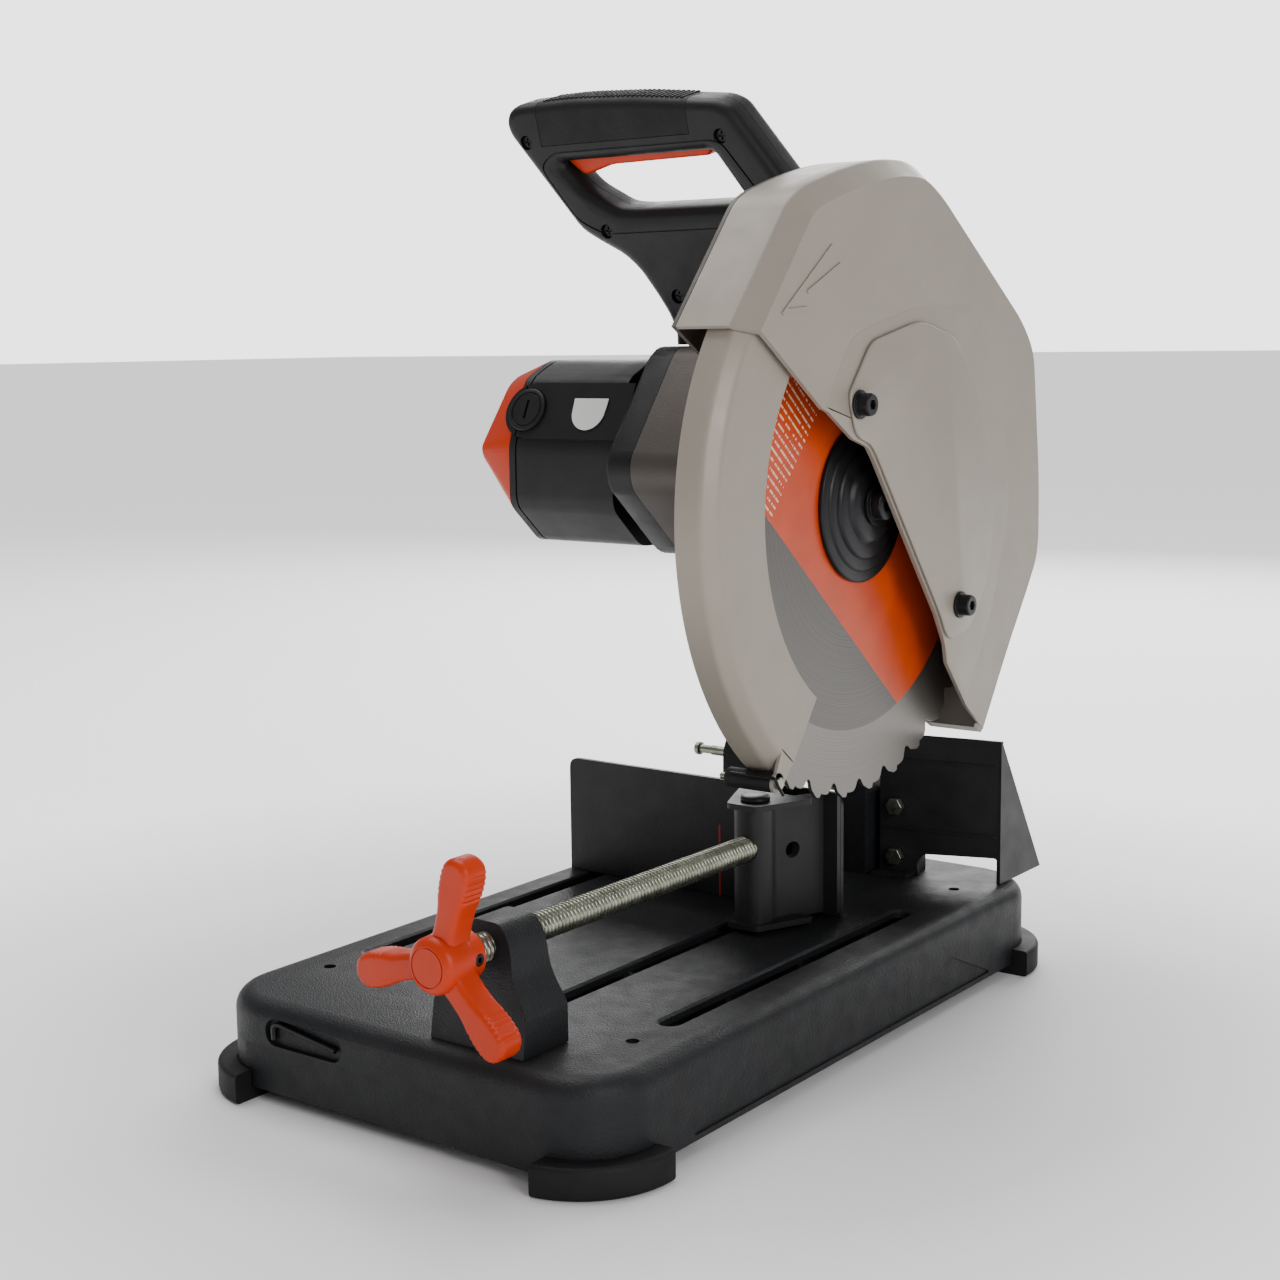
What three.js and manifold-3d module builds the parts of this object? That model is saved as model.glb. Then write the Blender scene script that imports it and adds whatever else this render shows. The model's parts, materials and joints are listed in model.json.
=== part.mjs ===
// Metal-cutting chop saw. Millimetres, +Z up, X to the operator's right, Y away from the operator.
import * as THREE from 'three'
import Module from 'manifold-3d'

const wasm = await Module()
wasm.setup()
const { Manifold } = wasm

// ---------------------------------------------------------------- driving sizes
const FIT = 0.3                                     // clear gap between pieces that touch
const BASE = { hx: 140, hy: 240, z0: 7, top: 57.2, corner: 42, wall: 5 }
const SLOT = { x: 107.5, y0: -144, y1: 112, half: 6, midX: 36.5, midY0: -186 }
const FOOT = { hx: 151, hy: 252, corner: 54, height: 17, x0: 104, y0: 194 }
const VISE = { x: 51.5, z: 109, screwR: 8, blockY0: -228, blockY1: -192 }
const JAW = { y0: 70.4, y1: 74.1, z0: 60, z1: 136.8, half: 31.5, pinY: 28 }
const FENCE = { x0: -129, x1: 83, y0: 74.5, y1: 78, z0: 57.5, z1: 134 }
const PIVOT = { y: 205, z: 126, shaftR: 8, x0: -71, x1: 43, cheek: 23 }
const LOCK = { y: 185, z: 124.5, r: 3.5 }
const DEFLECTOR = { xL: 48, yL: 183, xR: 129, yR: 198, top: 152, gauge: 2.5 }
const ARBOR = [90, 82, 313]                         // blade centre when the head is up
const BLADE = { r: 177.5, half: 1.2, teeth: 36, bore: 8.5 }
const MOTOR = { y: -15, z: 30, bore: 46.3, x0: -231, seam: -205, collar: -94 }
const BRUSH = { x: -194.5, r: 14 }
const GUARD = { face: 25, crease: 12, left: -21.9, wall: 2.5, offset: 10.5 }
const SHROUD = { rim: 182, crease: 174, inner: 130, x0: -4, x1: 12, face: 19, a0: 110, a1: 233.7 }
const ROLLER = { r: 5.7, orbit: 188.3, angle: 231.3, x0: -14.5, x1: 16.5 }
const GRIP = { tilt: 16, y: 20, z: 94, half: 15 }

const INK = 0x26272a
const SATIN_BLACK = 0x303134
const RUBBER = 0x1c1c1e
const WARM_GREY = 0xb0a89c
const CASTING = 0x6a6059
const ORANGE = 0xe65514
const ZINC = 0xb9bbad
const STEEL = 0x9b9c9d

// ---------------------------------------------------------------- geometry helpers
const rad = (deg) => (deg * Math.PI) / 180
const at = (r, deg) => [r * Math.cos(rad(deg)), r * Math.sin(rad(deg))]
const shift = (pts, du, dv) => pts.map(([u, v]) => [u + du, v + dv])
const scaled = (pts, k) => pts.map(([u, v]) => [u * k, v * k])
const mirrored = (pts) => [...pts, ...pts.map(([u, v]) => [-u, v]).reverse()]

function area(pts) {
  let sum = 0
  pts.forEach(([u, v], i) => {
    const [a, b] = pts[(i + 1) % pts.length]
    sum += u * b - a * v
  })
  return sum / 2
}

const ccw = (pts) => (area(pts) < 0 ? [...pts].reverse() : pts)

function inset(points, d) {
  const pts = ccw(points)
  const n = pts.length
  const normal = (p, q) => {
    const len = Math.hypot(q[0] - p[0], q[1] - p[1])
    return [-(q[1] - p[1]) / len, (q[0] - p[0]) / len]
  }
  return pts.map((p, i) => {
    const a = normal(pts[(i + n - 1) % n], p)
    const b = normal(p, pts[(i + 1) % n])
    const k = d / Math.max(1 + a[0] * b[0] + a[1] * b[1], 0.35)
    return [p[0] + (a[0] + b[0]) * k, p[1] + (a[1] + b[1]) * k]
  })
}

function circle(r, cu = 0, cv = 0, n = 20) {
  return Array.from({ length: n }, (_, i) => shift([at(r, (360 * i) / n)], cu, cv)[0])
}

function roundRect(hu, hv, r, cu = 0, cv = 0, n = 4) {
  const pts = []
  const corners = [[hu - r, hv - r, 0], [r - hu, hv - r, 90], [r - hu, r - hv, 180], [hu - r, r - hv, 270]]
  for (const [u, v, start] of corners) {
    for (let i = 0; i <= n; i++) pts.push(shift([at(r, start + (90 * i) / n)], u + cu, v + cv)[0])
  }
  return pts
}

function place(axis, a, u, v) {
  if (axis === 'x') return [a, u, v]
  return axis === 'y' ? [u, a, v] : [u, v, a]
}

function skin(rings, profile) {
  const n = profile.length
  const caps = THREE.ShapeUtils.triangulateShape(profile.map(([u, v]) => new THREE.Vector2(u, v)), [])
  const up = area(profile) > 0
  let tris = []
  for (let k = 0; k + 1 < rings.length; k++) {
    for (let i = 0; i < n; i++) {
      const a = k * n + i
      const b = k * n + ((i + 1) % n)
      tris.push([a, b, b + n], [a, b + n, a + n])
    }
  }
  const last = (rings.length - 1) * n
  for (const face of caps) {
    const [a, b, c] = area(face.map((i) => profile[i])) > 0 === up ? face : [...face].reverse()
    tris.push([c, b, a], [a + last, b + last, c + last])
  }
  const verts = rings.flat()
  if (signedVolume(verts, tris) < 0) tris = tris.map(([a, b, c]) => [c, b, a])
  const vertProperties = new Float32Array(verts.flat())
  const triVerts = new Uint32Array(tris.flat())
  return new Manifold(new wasm.Mesh({ numProp: 3, vertProperties, triVerts }))
}

function signedVolume(verts, tris) {
  let sum = 0
  for (const [a, b, c] of tris) {
    const [p, q, r] = [verts[a], verts[b], verts[c]]
    sum += p[0] * (q[1] * r[2] - q[2] * r[1])
    sum += p[1] * (q[2] * r[0] - q[0] * r[2])
    sum += p[2] * (q[0] * r[1] - q[1] * r[0])
  }
  return sum
}

function loft(axis, sections) {
  const rings = sections.map(([a, pts]) => pts.map(([u, v]) => place(axis, a, u, v)))
  return skin(rings, sections[0][1])
}

function prism(axis, points, a0, a1, bevel = 0) {
  const pts = ccw(points)
  if (!bevel) return loft(axis, [[a0, pts], [a1, pts]])
  const small = inset(pts, bevel)
  return loft(axis, [[a0, small], [a0 + bevel, pts], [a1 - bevel, pts], [a1, small]])
}

const rod = (axis, r, a0, a1, cu = 0, cv = 0, n = 20) => prism(axis, circle(r, cu, cv, n), a0, a1)

// A hole whose flats clear a turning rod of radius r by 0.05.
const runningBore = (axis, r, a0, a1, cu, cv) =>
  rod(axis, (r + 0.05) / Math.cos(Math.PI / 32), a0, a1, cu, cv, 32)

function turned(axis, steps, cu = 0, cv = 0, n = 20) {
  return loft(axis, steps.map(([a, r]) => [a, circle(r, cu, cv, n)]))
}

function block(x0, x1, y0, y1, z0, z1) {
  return Manifold.cube([x1 - x0, y1 - y0, z1 - z0]).translate([x0, y0, z0])
}

function sector(profile, a0, a1, n) {
  const rings = Array.from({ length: n + 1 }, (_, i) => {
    const angle = a0 + ((a1 - a0) * i) / n
    return profile.map(([x, r]) => [x, ...at(r, angle)])
  })
  return skin(rings, profile)
}

function tube(points, r, steps, sides = 8) {
  const curve = new THREE.CatmullRomCurve3(points.map((p) => new THREE.Vector3(...p)))
  const frames = curve.computeFrenetFrames(steps, false)
  const profile = circle(r, 0, 0, sides)
  const rings = Array.from({ length: steps + 1 }, (_, i) => {
    const p = curve.getPointAt(i / steps)
    return profile.map(([u, v]) => {
      const q = p.clone().addScaledVector(frames.normals[i], u).addScaledVector(frames.binormals[i], v)
      return [q.x, q.y, q.z]
    })
  })
  return skin(rings, profile)
}

const join = (...solids) => solids.reduce((a, b) => a.add(b))
const cut = (solid, ...tools) => tools.reduce((a, b) => a.subtract(b), solid)

// ---------------------------------------------------------------- scene
const saw = new THREE.Group()
saw.name = 'chop_saw'

function add(name, solid, color, metalness = 0, roughness = 0.6) {
  const source = solid.getMesh()
  const geometry = new THREE.BufferGeometry()
  const xyz = new Float32Array(source.numVert * 3)
  for (let i = 0; i < source.numVert; i++) xyz.set(source.vertProperties.slice(i * source.numProp,
    i * source.numProp + 3), i * 3)
  geometry.setAttribute('position', new THREE.BufferAttribute(xyz, 3))
  geometry.setIndex(new THREE.BufferAttribute(new Uint32Array(source.triVerts), 1))
  geometry.computeVertexNormals()
  const mesh = new THREE.Mesh(geometry, new THREE.MeshStandardMaterial({ color, metalness, roughness }))
  mesh.name = name
  saw.add(mesh)
}

const addHead = (name, solid, ...look) => add(name, solid.translate(ARBOR), ...look)

// ---------------------------------------------------------------- base casting, feet, stored key
function baseCasting() {
  const ring = (d, z) => [z, roundRect(BASE.hx - d, BASE.hy - d, BASE.corner - d, 0, 0, 5)]
  const outer = loft('z', [ring(0, BASE.z0), ring(1.5, 48), ring(4, 54), ring(8, 56.5), ring(11, BASE.top)])
  const inner = loft('z', [ring(5, BASE.z0 - 1), ring(6, 44), ring(10, BASE.top - BASE.wall)])
  const ribs = [-150, -75, 0, 75, 150].map((y) => block(-133, 133, y - 2, y + 2, 24, 54))
  const rails = [-75, 75].map((x) => block(x - 2, x + 2, -233, 233, 30, 54))
  const shell = join(cut(outer, inner), ...[...ribs, ...rails].map((rib) => rib.intersect(outer)))
  const slots = [
    tableSlot(SLOT.x, SLOT.y0), tableSlot(-SLOT.x, SLOT.y0), tableSlot(SLOT.midX, SLOT.midY0),
  ].flat()
  const holes = [-172.7, 172.7].flatMap((y) => [-109, 109].map((x) => rod('z', 3.6, 40, 60, x, y, 16)))
  return cut(shell, ...slots, ...holes, ...skirtRecesses())
}

function tableSlot(x, y0) {
  const mid = (y0 + SLOT.y1) / 2
  const long = (SLOT.y1 - y0) / 2
  const outline = (grow) => roundRect(SLOT.half + grow, long + grow, SLOT.half + grow - 0.01, x, mid)
  const mouth = loft('z', [[BASE.top - 1.3, outline(0)], [BASE.top + 0.2, outline(1.5)]])
  return [prism('z', outline(0), 20, 60), mouth]
}

function skirtRecesses() {
  const keyPocket = prism('y', roundRect(29, 7.5, 7.4, -62, 42), -242, -236.4)
  const panel = prism('y', roundRect(78.5, 13.5, 5, -31.5, 19.5), -242, -238.8)
  const side = [[-165, 10], [-110, 34], [110, 34], [165, 10]]
  return [keyPocket, panel, prism('x', side, 138.6, 142), prism('x', side, -142, -138.6)]
}

function foot(sx, sy) {
  const ring = (d, z) => [z, roundRect(FOOT.hx - d, FOOT.hy - d, FOOT.corner - d)]
  const body = loft('z', [ring(1.5, 0), ring(0, 2), ring(0, FOOT.height - 2.5), ring(2.5, FOOT.height)])
  const corner = block(FOOT.x0, 160, FOOT.y0, 260, 0, 20)
  const skirt = prism('z', roundRect(BASE.hx + FIT, BASE.hy + FIT, BASE.corner + FIT, 0, 0, 5),
    BASE.z0 - FIT, 30)
  const inside = prism('z', roundRect(110, 206, 20), -1, 30)
  const oneCorner = cut(body, skirt, inside).intersect(corner)
  const acrossX = sx < 0 ? oneCorner.mirror([1, 0, 0]) : oneCorner
  return sy < 0 ? acrossX.mirror([0, 1, 0]) : acrossX
}

function storedKey() {
  const path = [[-86, -237.2, 37.5], [-86, -237.2, 44], [-82.5, -237.2, 46.3], [-76, -237.2, 45.6],
    [-39, -237.2, 40.5]]
  return tube(path, 1.6, 26, 6)
}

add('base', baseCasting(), INK, 0.2, 0.75)
for (const [name, sx, sy] of [['foot_front_right', 1, -1], ['foot_front_left', -1, -1],
  ['foot_rear_right', 1, 1], ['foot_rear_left', -1, 1]]) {
  add(name, foot(sx, sy), RUBBER, 0, 0.85)
}
add('hex_key', storedKey().translate([0, -1.2, 0]), SATIN_BLACK, 0.8, 0.4)

// ---------------------------------------------------------------- vise
function viseBlock() {
  const half = [[31, 57.5], [31, 78], [29, 81.5], [25, 87.5], [21, 94], [19.2, 100], [18, 108],
    [16, 114.5], [10, 122.5]]
  const profile = shift(mirrored(half), VISE.x, 0)
  const side = [[VISE.blockY0, 57], [VISE.blockY1, 57], [VISE.blockY1, 124], [VISE.blockY0 + 9, 124],
    [VISE.blockY0 + 7, 104]]
  const body = prism('y', profile, VISE.blockY0, VISE.blockY1, 1.2).intersect(prism('x', side, 0, 110))
  return cut(body, runningBore('y', VISE.screwR, -235, -185, VISE.x, VISE.z))
}

function viseScrew() {
  const steps = [[-253, 6.8], [-251.5, 8], [18, 8], [20, 6.5]]
  return turned('y', steps, VISE.x, VISE.z)
}

function handleLobe(angle) {
  const side = [[5, 8.5], [17, 6.6], [29, 7], [37, 9], [44, 9.6], [50.5, 9.2], [55, 6.4], [57, 2.5]]
  const outline = [...side, ...side.map(([u, v]) => [u, -v]).reverse()]
  const turn = outline.map(([u, v]) => [
    VISE.x + u * Math.cos(rad(angle)) - v * Math.sin(rad(angle)),
    VISE.z + u * Math.sin(rad(angle)) + v * Math.cos(rad(angle)),
  ])
  return prism('y', turn, -257, -240, 2.4)
}

function viseHandle() {
  const hub = turned('y', [[-262.5, 11], [-261, 13.6], [-258.5, 14.8], [-245, 15.5], [-243, 13.5],
    [-233, 12.8], [-232, 11.8]], VISE.x, VISE.z)
  const body = join(hub, handleLobe(74), handleLobe(194), handleLobe(314))
  const screwBore = rod('y', VISE.screwR + FIT, -253.4, -230, VISE.x, VISE.z)
  const grubHole = rod('x', 3.3, VISE.x + 8, VISE.x + 14, -238, VISE.z, 20)
  return cut(body, screwBore, grubHole)
}

function socketScrew(axis, r, a0, a1, cu, cv, socket) {
  const body = prism(axis, circle(r, cu, cv, 16), a0, a1, 0.4)
  const end = a1 > a0 ? a1 : a0
  return cut(body, prism(axis, circle(socket, cu, cv, 6), end - r * 0.7, end + 1))
}

function jawBracket() {
  const x = VISE.x
  const column = [[-9.5, 36], [-11.5, 28], [-10, 19], [-5.5, 15.4], [0, 14.2], [5.5, 15.4], [10, 19], [11.5, 28],
    [9.5, 36]]
  const outline = shift([...column, [22, JAW.y0 + 1], [-22, JAW.y0 + 1]], x, 0)
  const hollow = shift([[-5, 38], [5, 38], [17, JAW.y0 + 0.5], [-17, JAW.y0 + 0.5]], x, 0)
  const flange = shift([[-10.5, 12.6], [10.5, 12.6], [27, 51], [-27, 51]], x, 0)
  const walls = cut(prism('z', outline, JAW.z0 + 1, JAW.z1 - 1), prism('z', hollow, 50, 150))
  const plate = prism('y', roundRect(JAW.half, (JAW.z1 - JAW.z0) / 2, 2, x, (JAW.z1 + JAW.z0) / 2, 3),
    JAW.y0, JAW.y1, 0.6)
  const flanges = [[JAW.z0, JAW.z0 + 3.5], [JAW.z1 - 3.5, JAW.z1]].map(([a, b]) => prism('z', flange, a, b, 0.8))
  const notch = (dx, z0, z1) => block(x + dx - 2.4, x + dx + 2.4, JAW.y0 - 1, JAW.y1 + 1, z0, z1)
  const notches = [-29.3, 14].flatMap((dx) => [notch(dx, JAW.z1 - 9, 150), notch(dx, 50, JAW.z0 + 9)])
  const pinBore = rod('z', 5 + FIT, 50, 150, x, JAW.pinY)
  const screwSeat = rod('y', VISE.screwR + FIT, 10, 20.4, x, VISE.z)
  const sideHole = rod('x', 5, x - 40, x + 40, 48, 104)
  return cut(join(walls, plate, ...flanges), ...notches, pinBore, screwSeat, sideHole)
}

function jawPin() {
  const steps = [[JAW.z0 - 1, 4.4], [JAW.z0, 5], [JAW.z1 + FIT, 5], [JAW.z1 + FIT + 0.01, 9],
    [JAW.z1 + 2.2, 9], [JAW.z1 + 3.6, 6.5]]
  return turned('z', steps, VISE.x, JAW.pinY)
}

add('vise_block', viseBlock(), INK, 0.2, 0.7)
add('vise_screw', viseScrew(), ZINC, 0.9, 0.35)
add('vise_handle', viseHandle(), ORANGE, 0, 0.5)
add('handle_grub_screw', socketScrew('x', 3, VISE.x + 8.6, VISE.x + 13.2, -238, VISE.z, 1.6), STEEL, 0.9, 0.3)
add('jaw_bracket', jawBracket(), INK, 0.4, 0.5)
add('jaw_pin', jawPin(), SATIN_BLACK, 0.7, 0.4)

// ---------------------------------------------------------------- fence, deflector, pivot bracket
function hexBolt(x, y, z0, z1, headZ, headR = 8) {
  const shank = rod('z', 4, z0, z1, x, y, 16)
  const washer = rod('z', headR + 2, headZ, headZ + 1.6, x, y, 20)
  return join(shank, washer, prism('z', circle(headR, x, y, 6), headZ + 1.5, headZ + 7.5, 0.7))
}

function fence() {
  const f = FENCE
  const front = [[f.x0, f.z0], [f.x1, f.z0], [f.x1, f.z1], [f.x0 + 7, f.z1], [f.x0 + 2, f.z1 - 2],
    [f.x0, f.z1 - 7]]
  const flange = [[f.x0, f.y1 - 1], [60, f.y1 - 1], [60, f.y1 + 34], [f.x0 + 6, f.y1 + 34], [f.x0, f.y1 + 28]]
  const body = join(prism('y', front, f.y0, f.y1, 0.5), prism('z', flange, f.z0, f.z0 + 3.5))
  const ribs = [-60, -10].map((x) => prism('x', [[f.y1 - 1, f.z0 + 1], [f.y1 + 28, f.z0 + 1],
    [f.y1 - 1, f.z0 + 55]], x - 1.7, x + 1.7))
  const holes = [-SLOT.x, SLOT.midX].map((x) => rod('z', 4.4, 50, 66, x, 98, 24))
  return cut(join(body, ...ribs), ...holes)
}

function deflector() {
  const d = DEFLECTOR
  const slope = (d.yR - d.yL) / (d.xR - d.xL)
  const strip = [[d.xL, d.yL], [d.xR, d.yR], [d.xR, d.yR + d.gauge], [d.xL, d.yL + d.gauge]]
  const sheet = prism('z', strip, FENCE.z0, d.top)
  const gap = prism('y', [[76, 50], [127, 50], [127, 74.5], [78, 72.5], [73, 66]], 150, 230)
  const gusset = [[d.yR - 0.2, FENCE.z0], [d.yR + 59, FENCE.z0], [d.yR + 1, d.top], [d.yR - 0.2, d.top]]
  const wing = prism('x', gusset, d.xR - d.gauge, d.xR)
  const lip = prism('z', [[d.xL, d.yL - 12], [72, d.yL - 12 + 24 * slope], [72, d.yL + 1 + 24 * slope],
    [d.xL, d.yL + 1]], FENCE.z0, FENCE.z0 + d.gauge)
  const holes = [70, 104].map((z) => rod('y', 3.4, 150, 230, 60, z, 20))
  return cut(join(cut(sheet, gap), wing, lip), ...holes)
}

function pivotBracket() {
  const p = PIVOT
  const cheek = [[172, 57.5], [226, 57.5], [226, 128], [221, 139], [212, 146], [198, 146], [184, 142],
    [176, 136], [172, 127]]
  const left = prism('x', cheek, p.x0, p.x0 + p.cheek, 2)
  const right = prism('x', cheek, p.x1 - p.cheek, p.x1, 2)
  const floor = block(p.x0 + 2, p.x1 - 2, 173, 225, 57.5, 65)
  const front = prism('z', roundRect(55, 3, 2.9, -14, 176, 3), 57.5, 94)
  const ear = block(p.x1 - 4, 71, 188.6, 204, 57.5, 112)
  const body = join(left, right, floor, front, ear)
  const deflectorPath = deflectorClearance()
  const shaftBore = rod('x', p.shaftR + 0.05, -80, 50, p.y, p.z)
  const lockBore = rod('x', LOCK.r + 0.3, p.x0 - 2, p.x0 + p.cheek + 2, LOCK.y, LOCK.z, 24)
  const boltHoles = [70, 104].map((z) => rod('y', 3.3, 180, 199, 60, z, 20))
  const floorHoles = [-30, 2].map((x) => rod('z', 4.4, 50, 70, x, 216, 20))
  return cut(body, deflectorPath, shaftBore, lockBore, ...boltHoles, ...floorHoles)
}

function deflectorClearance() {
  const d = DEFLECTOR
  const slope = (d.yR - d.yL) / (d.xR - d.xL)
  const y = (x) => d.yL + d.gauge + FIT + (x - d.xL) * slope
  return prism('z', [[43.3, 170], [90, 170], [90, y(90)], [43.3, y(43.3)]], 50, 130)
}

function pivotShaft() {
  const steps = [[PIVOT.x0 - 3.5, 7], [PIVOT.x0 - 3, 8], [PIVOT.x1 + 1, 8], [PIVOT.x1 + 1.01, 11],
    [PIVOT.x1 + 3.6, 11], [PIVOT.x1 + 4.6, 9.5]]
  return turned('x', steps, PIVOT.y, PIVOT.z)
}

function returnSpring() {
  const turns = 5.25
  const r = 16.5
  const coil = Array.from({ length: 64 }, (_, i) => {
    const t = i / 63
    const [y, z] = at(r, 250 + 360 * turns * t)
    return [-36 + 22 * t, PIVOT.y + y, PIVOT.z + z]
  })
  const first = coil[0]
  const last = coil[63]
  return tube([[first[0], first[1] + 14, first[2] - 22], ...coil, [last[0], last[1] + 14, last[2] + 12]],
    1.6, 110, 5)
}

function lockPin() {
  const x = PIVOT.x0
  const steps = [[x - 31, 4.2], [x - 30, 4.6], [x - 27.5, 4.6], [x - 27, 3], [x - 18, 3], [x - 17.6, 3.5],
    [x + 21, 3.5], [x + 22.4, 2.2]]
  return turned('x', steps, LOCK.y, LOCK.z, 24)
}

function deflectorBolt(z) {
  const y = DEFLECTOR.yL + 12 * (15 / 81)
  const head = prism('y', circle(6, 60, z, 6), y - 6.2, y - 1, 0.6)
  return join(head, rod('y', 3, y - 2, y + 13, 60, z, 20))
}

add('fence', fence(), INK, 0.3, 0.6)
add('fence_bolt_left', hexBolt(-SLOT.x, 98, 46, 63, 61.3), ZINC, 0.9, 0.35)
add('fence_bolt_right', hexBolt(SLOT.midX, 98, 46, 63, 61.3), ZINC, 0.9, 0.35)
add('chip_deflector', deflector(), INK, 0.3, 0.6)
add('deflector_bolt_upper', deflectorBolt(104), ZINC, 0.9, 0.35)
add('deflector_bolt_lower', deflectorBolt(70), ZINC, 0.9, 0.35)
add('pivot_bracket', pivotBracket(), INK, 0.3, 0.6)
add('bracket_bolt_left', hexBolt(-30, 216, 57.4, 66, 65.3, 7), ZINC, 0.9, 0.35)
add('bracket_bolt_right', hexBolt(2, 216, 57.4, 66, 65.3, 7), ZINC, 0.9, 0.35)
add('pivot_shaft', pivotShaft(), STEEL, 0.9, 0.3)
add('return_spring', returnSpring(), STEEL, 0.9, 0.35)
add('lock_pin', lockPin(), ZINC, 0.9, 0.3)

// ---------------------------------------------------------------- blade, flanges, spindle
function bladeDisc() {
  const tooth = [[0, 168.5], [0.16, 173.4], [0.4, BLADE.r], [0.52, BLADE.r], [0.56, 174.8], [0.78, 175.8],
    [0.93, 169.3]]
  const pts = []
  for (let i = 0; i < BLADE.teeth; i++) {
    for (const [f, r] of tooth) pts.push(at(r, ((i + f) * 360) / BLADE.teeth))
  }
  return cut(prism('x', pts, -BLADE.half, BLADE.half), rod('x', BLADE.bore, -3, 3))
}

const innerFlange = () => cut(
  turned('x', [[-11.8, 20], [-10, 34], [-6.5, 39.2], [-5.5, 40], [-1.6, 40]]), rod('x', BLADE.bore, -13, 0))

const outerFlange = () => cut(
  turned('x', [[1.6, 47.5], [3.6, 47.5], [4.6, 46.3], [6, 40], [6.6, 33], [8.6, 31.6], [9, 24], [11, 22],
    [12, 20.5]], 0, 0, 32), rod('x', BLADE.bore, 0, 14))

function arborBolt() {
  const head = turned('x', [[12.4, 13], [14, 13], [14.01, 9.6], [19.6, 9.6], [20.6, 8.6]])
  return cut(head, prism('x', circle(4.6, 0, 0, 6), 16.4, 22))
}

function toothedDisc(x0, x1, r, depth, teeth, cy, cz) {
  const pts = Array.from({ length: teeth * 2 }, (_, i) =>
    shift([at(i % 2 ? r : r - depth, (i * 180) / teeth)], cy, cz)[0])
  return prism('x', pts, x0, x1)
}

function spindle() {
  const shaft = turned('x', [[-92, 9.5], [-91, 10.5], [-12.6, 10.5], [-12.59, 8.2], [12, 8.2]])
  return join(shaft, toothedDisc(-80, -68, 26.3, 2.4, 53, 0, 0))
}

addHead('blade', bladeDisc(), STEEL, 0.9, 0.35)
addHead('inner_flange', innerFlange(), SATIN_BLACK, 0.7, 0.4)
addHead('outer_flange', outerFlange(), SATIN_BLACK, 0.7, 0.4)
addHead('arbor_bolt', arborBolt(), SATIN_BLACK, 0.8, 0.35)
addHead('spindle', spindle(), STEEL, 0.9, 0.3)

// ---------------------------------------------------------------- lower guard and its roller
function lowerGuard() {
  const s = SHROUD
  const shell = [[s.x0, s.rim], [s.x1, s.rim], [s.face, s.crease], [s.face, s.inner], [s.face - 2, s.inner],
    [s.face - 2, s.crease - 0.8], [s.x1 - 0.8, s.rim - 2], [s.x0, s.rim - 2]]
  const skirt = sector(shell, s.a0, s.a1, 34)
  const lip = sector([[-15, s.rim], [s.x0 + 0.5, s.rim], [s.x0 + 0.5, s.rim - 2], [-15, s.rim - 2]], 112, 140, 8)
  const spoke = sector([[-15, s.rim], [-12.6, s.rim], [-12.6, 36], [-15, 36]], 112, 140, 8)
  const hub = cut(rod('x', 42, -21.5, -12.6, 0, 0, 32), rod('x', 29.9, -23, -10, 0, 0, 32))
  const [ry, rz] = at(ROLLER.orbit, ROLLER.angle)
  const strap = prism('x', [at(171, 228.5), at(ROLLER.orbit - 1, 230), at(ROLLER.orbit - 1, 233),
    at(171, s.a1 - 0.3)], s.face - 2, s.face)
  const lug = rod('x', 5.8, s.face - 2, s.face, ry, rz, 24)
  return cut(join(skirt, lip, spoke, hub, strap, lug), rod('x', 2.3, 14, 22, ry, rz, 20))
}

function roller() {
  const [y, z] = at(ROLLER.orbit, ROLLER.angle)
  const body = turned('x', [[ROLLER.x0, 4.6], [ROLLER.x0 + 1.2, ROLLER.r], [ROLLER.x1 - 1.2, ROLLER.r],
    [ROLLER.x1, 4.6]], y, z)
  return cut(body, rod('x', 2.35, -20, 20, y, z, 20))
}

function rollerAxle() {
  const [y, z] = at(ROLLER.orbit, ROLLER.angle)
  return turned('x', [[-19.5, 1.6], [-19, 2], [19.3, 2], [19.31, 3.6], [21, 3.6]], y, z, 20)
}

function rollerClip() {
  const [y, z] = at(ROLLER.orbit, ROLLER.angle)
  const d = (x, k) => [x, y - 6.2 * k, z + 3.9 * k]
  return tube([d(-9, 1), d(4, 1.02), d(15, 1.02), d(20.6, 1), [22.4, y - 4.6, z - 1], [22.4, y, z - 6.2]], 0.9, 26, 6)
}

addHead('lower_guard', lowerGuard(), WARM_GREY, 0.1, 0.55)
addHead('guard_roller', roller(), RUBBER, 0, 0.8)
addHead('roller_axle', rollerAxle(), ZINC, 0.9, 0.3)
addHead('roller_clip', rollerClip(), STEEL, 0.9, 0.35)

// ---------------------------------------------------------------- upper guard, cover and side plate
const FACE_CHAIN = [[-142.2, 102.1], [-90.2, 164.8], [-79.7, 170], [-47.3, 179.8], [-13.3, 187.2],
  [7.2, 190], [34.6, 190.5], [56.7, 180], [100.1, 150.6], [165, 106.6], [182.4, 87.3], [193.1, 3.1],
  [193.7, -35.8], [190.8, -50.6], [174.8, -73.4], [151.1, -104.3], [116.7, -154]]
const LOWER_CHAIN = [[93, -134.7], [67, -103.9], [64.2, -91.2], [53, -72.2], [-24.7, 28.7], [-31.1, 35.5],
  [-47.9, 40.8], [-74.2, 56.9], [-81, 59.2]]

function chainGrown(d) {
  const grown = inset([...FACE_CHAIN, ...LOWER_CHAIN].reverse(), -d).reverse().slice(0, FACE_CHAIN.length)
  const k = d / GUARD.offset
  grown[0] = [-142.2 - 11.9 * k, 102.1 + 2.9 * k]
  grown[FACE_CHAIN.length - 1] = [116.7 + 21.3 * k, -154 - 7 * k]
  return grown
}

const guardOutline = (d, drop = 0) => [...chainGrown(d), ...LOWER_CHAIN.map(([y, z]) => [y - drop, z - drop])]

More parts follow.
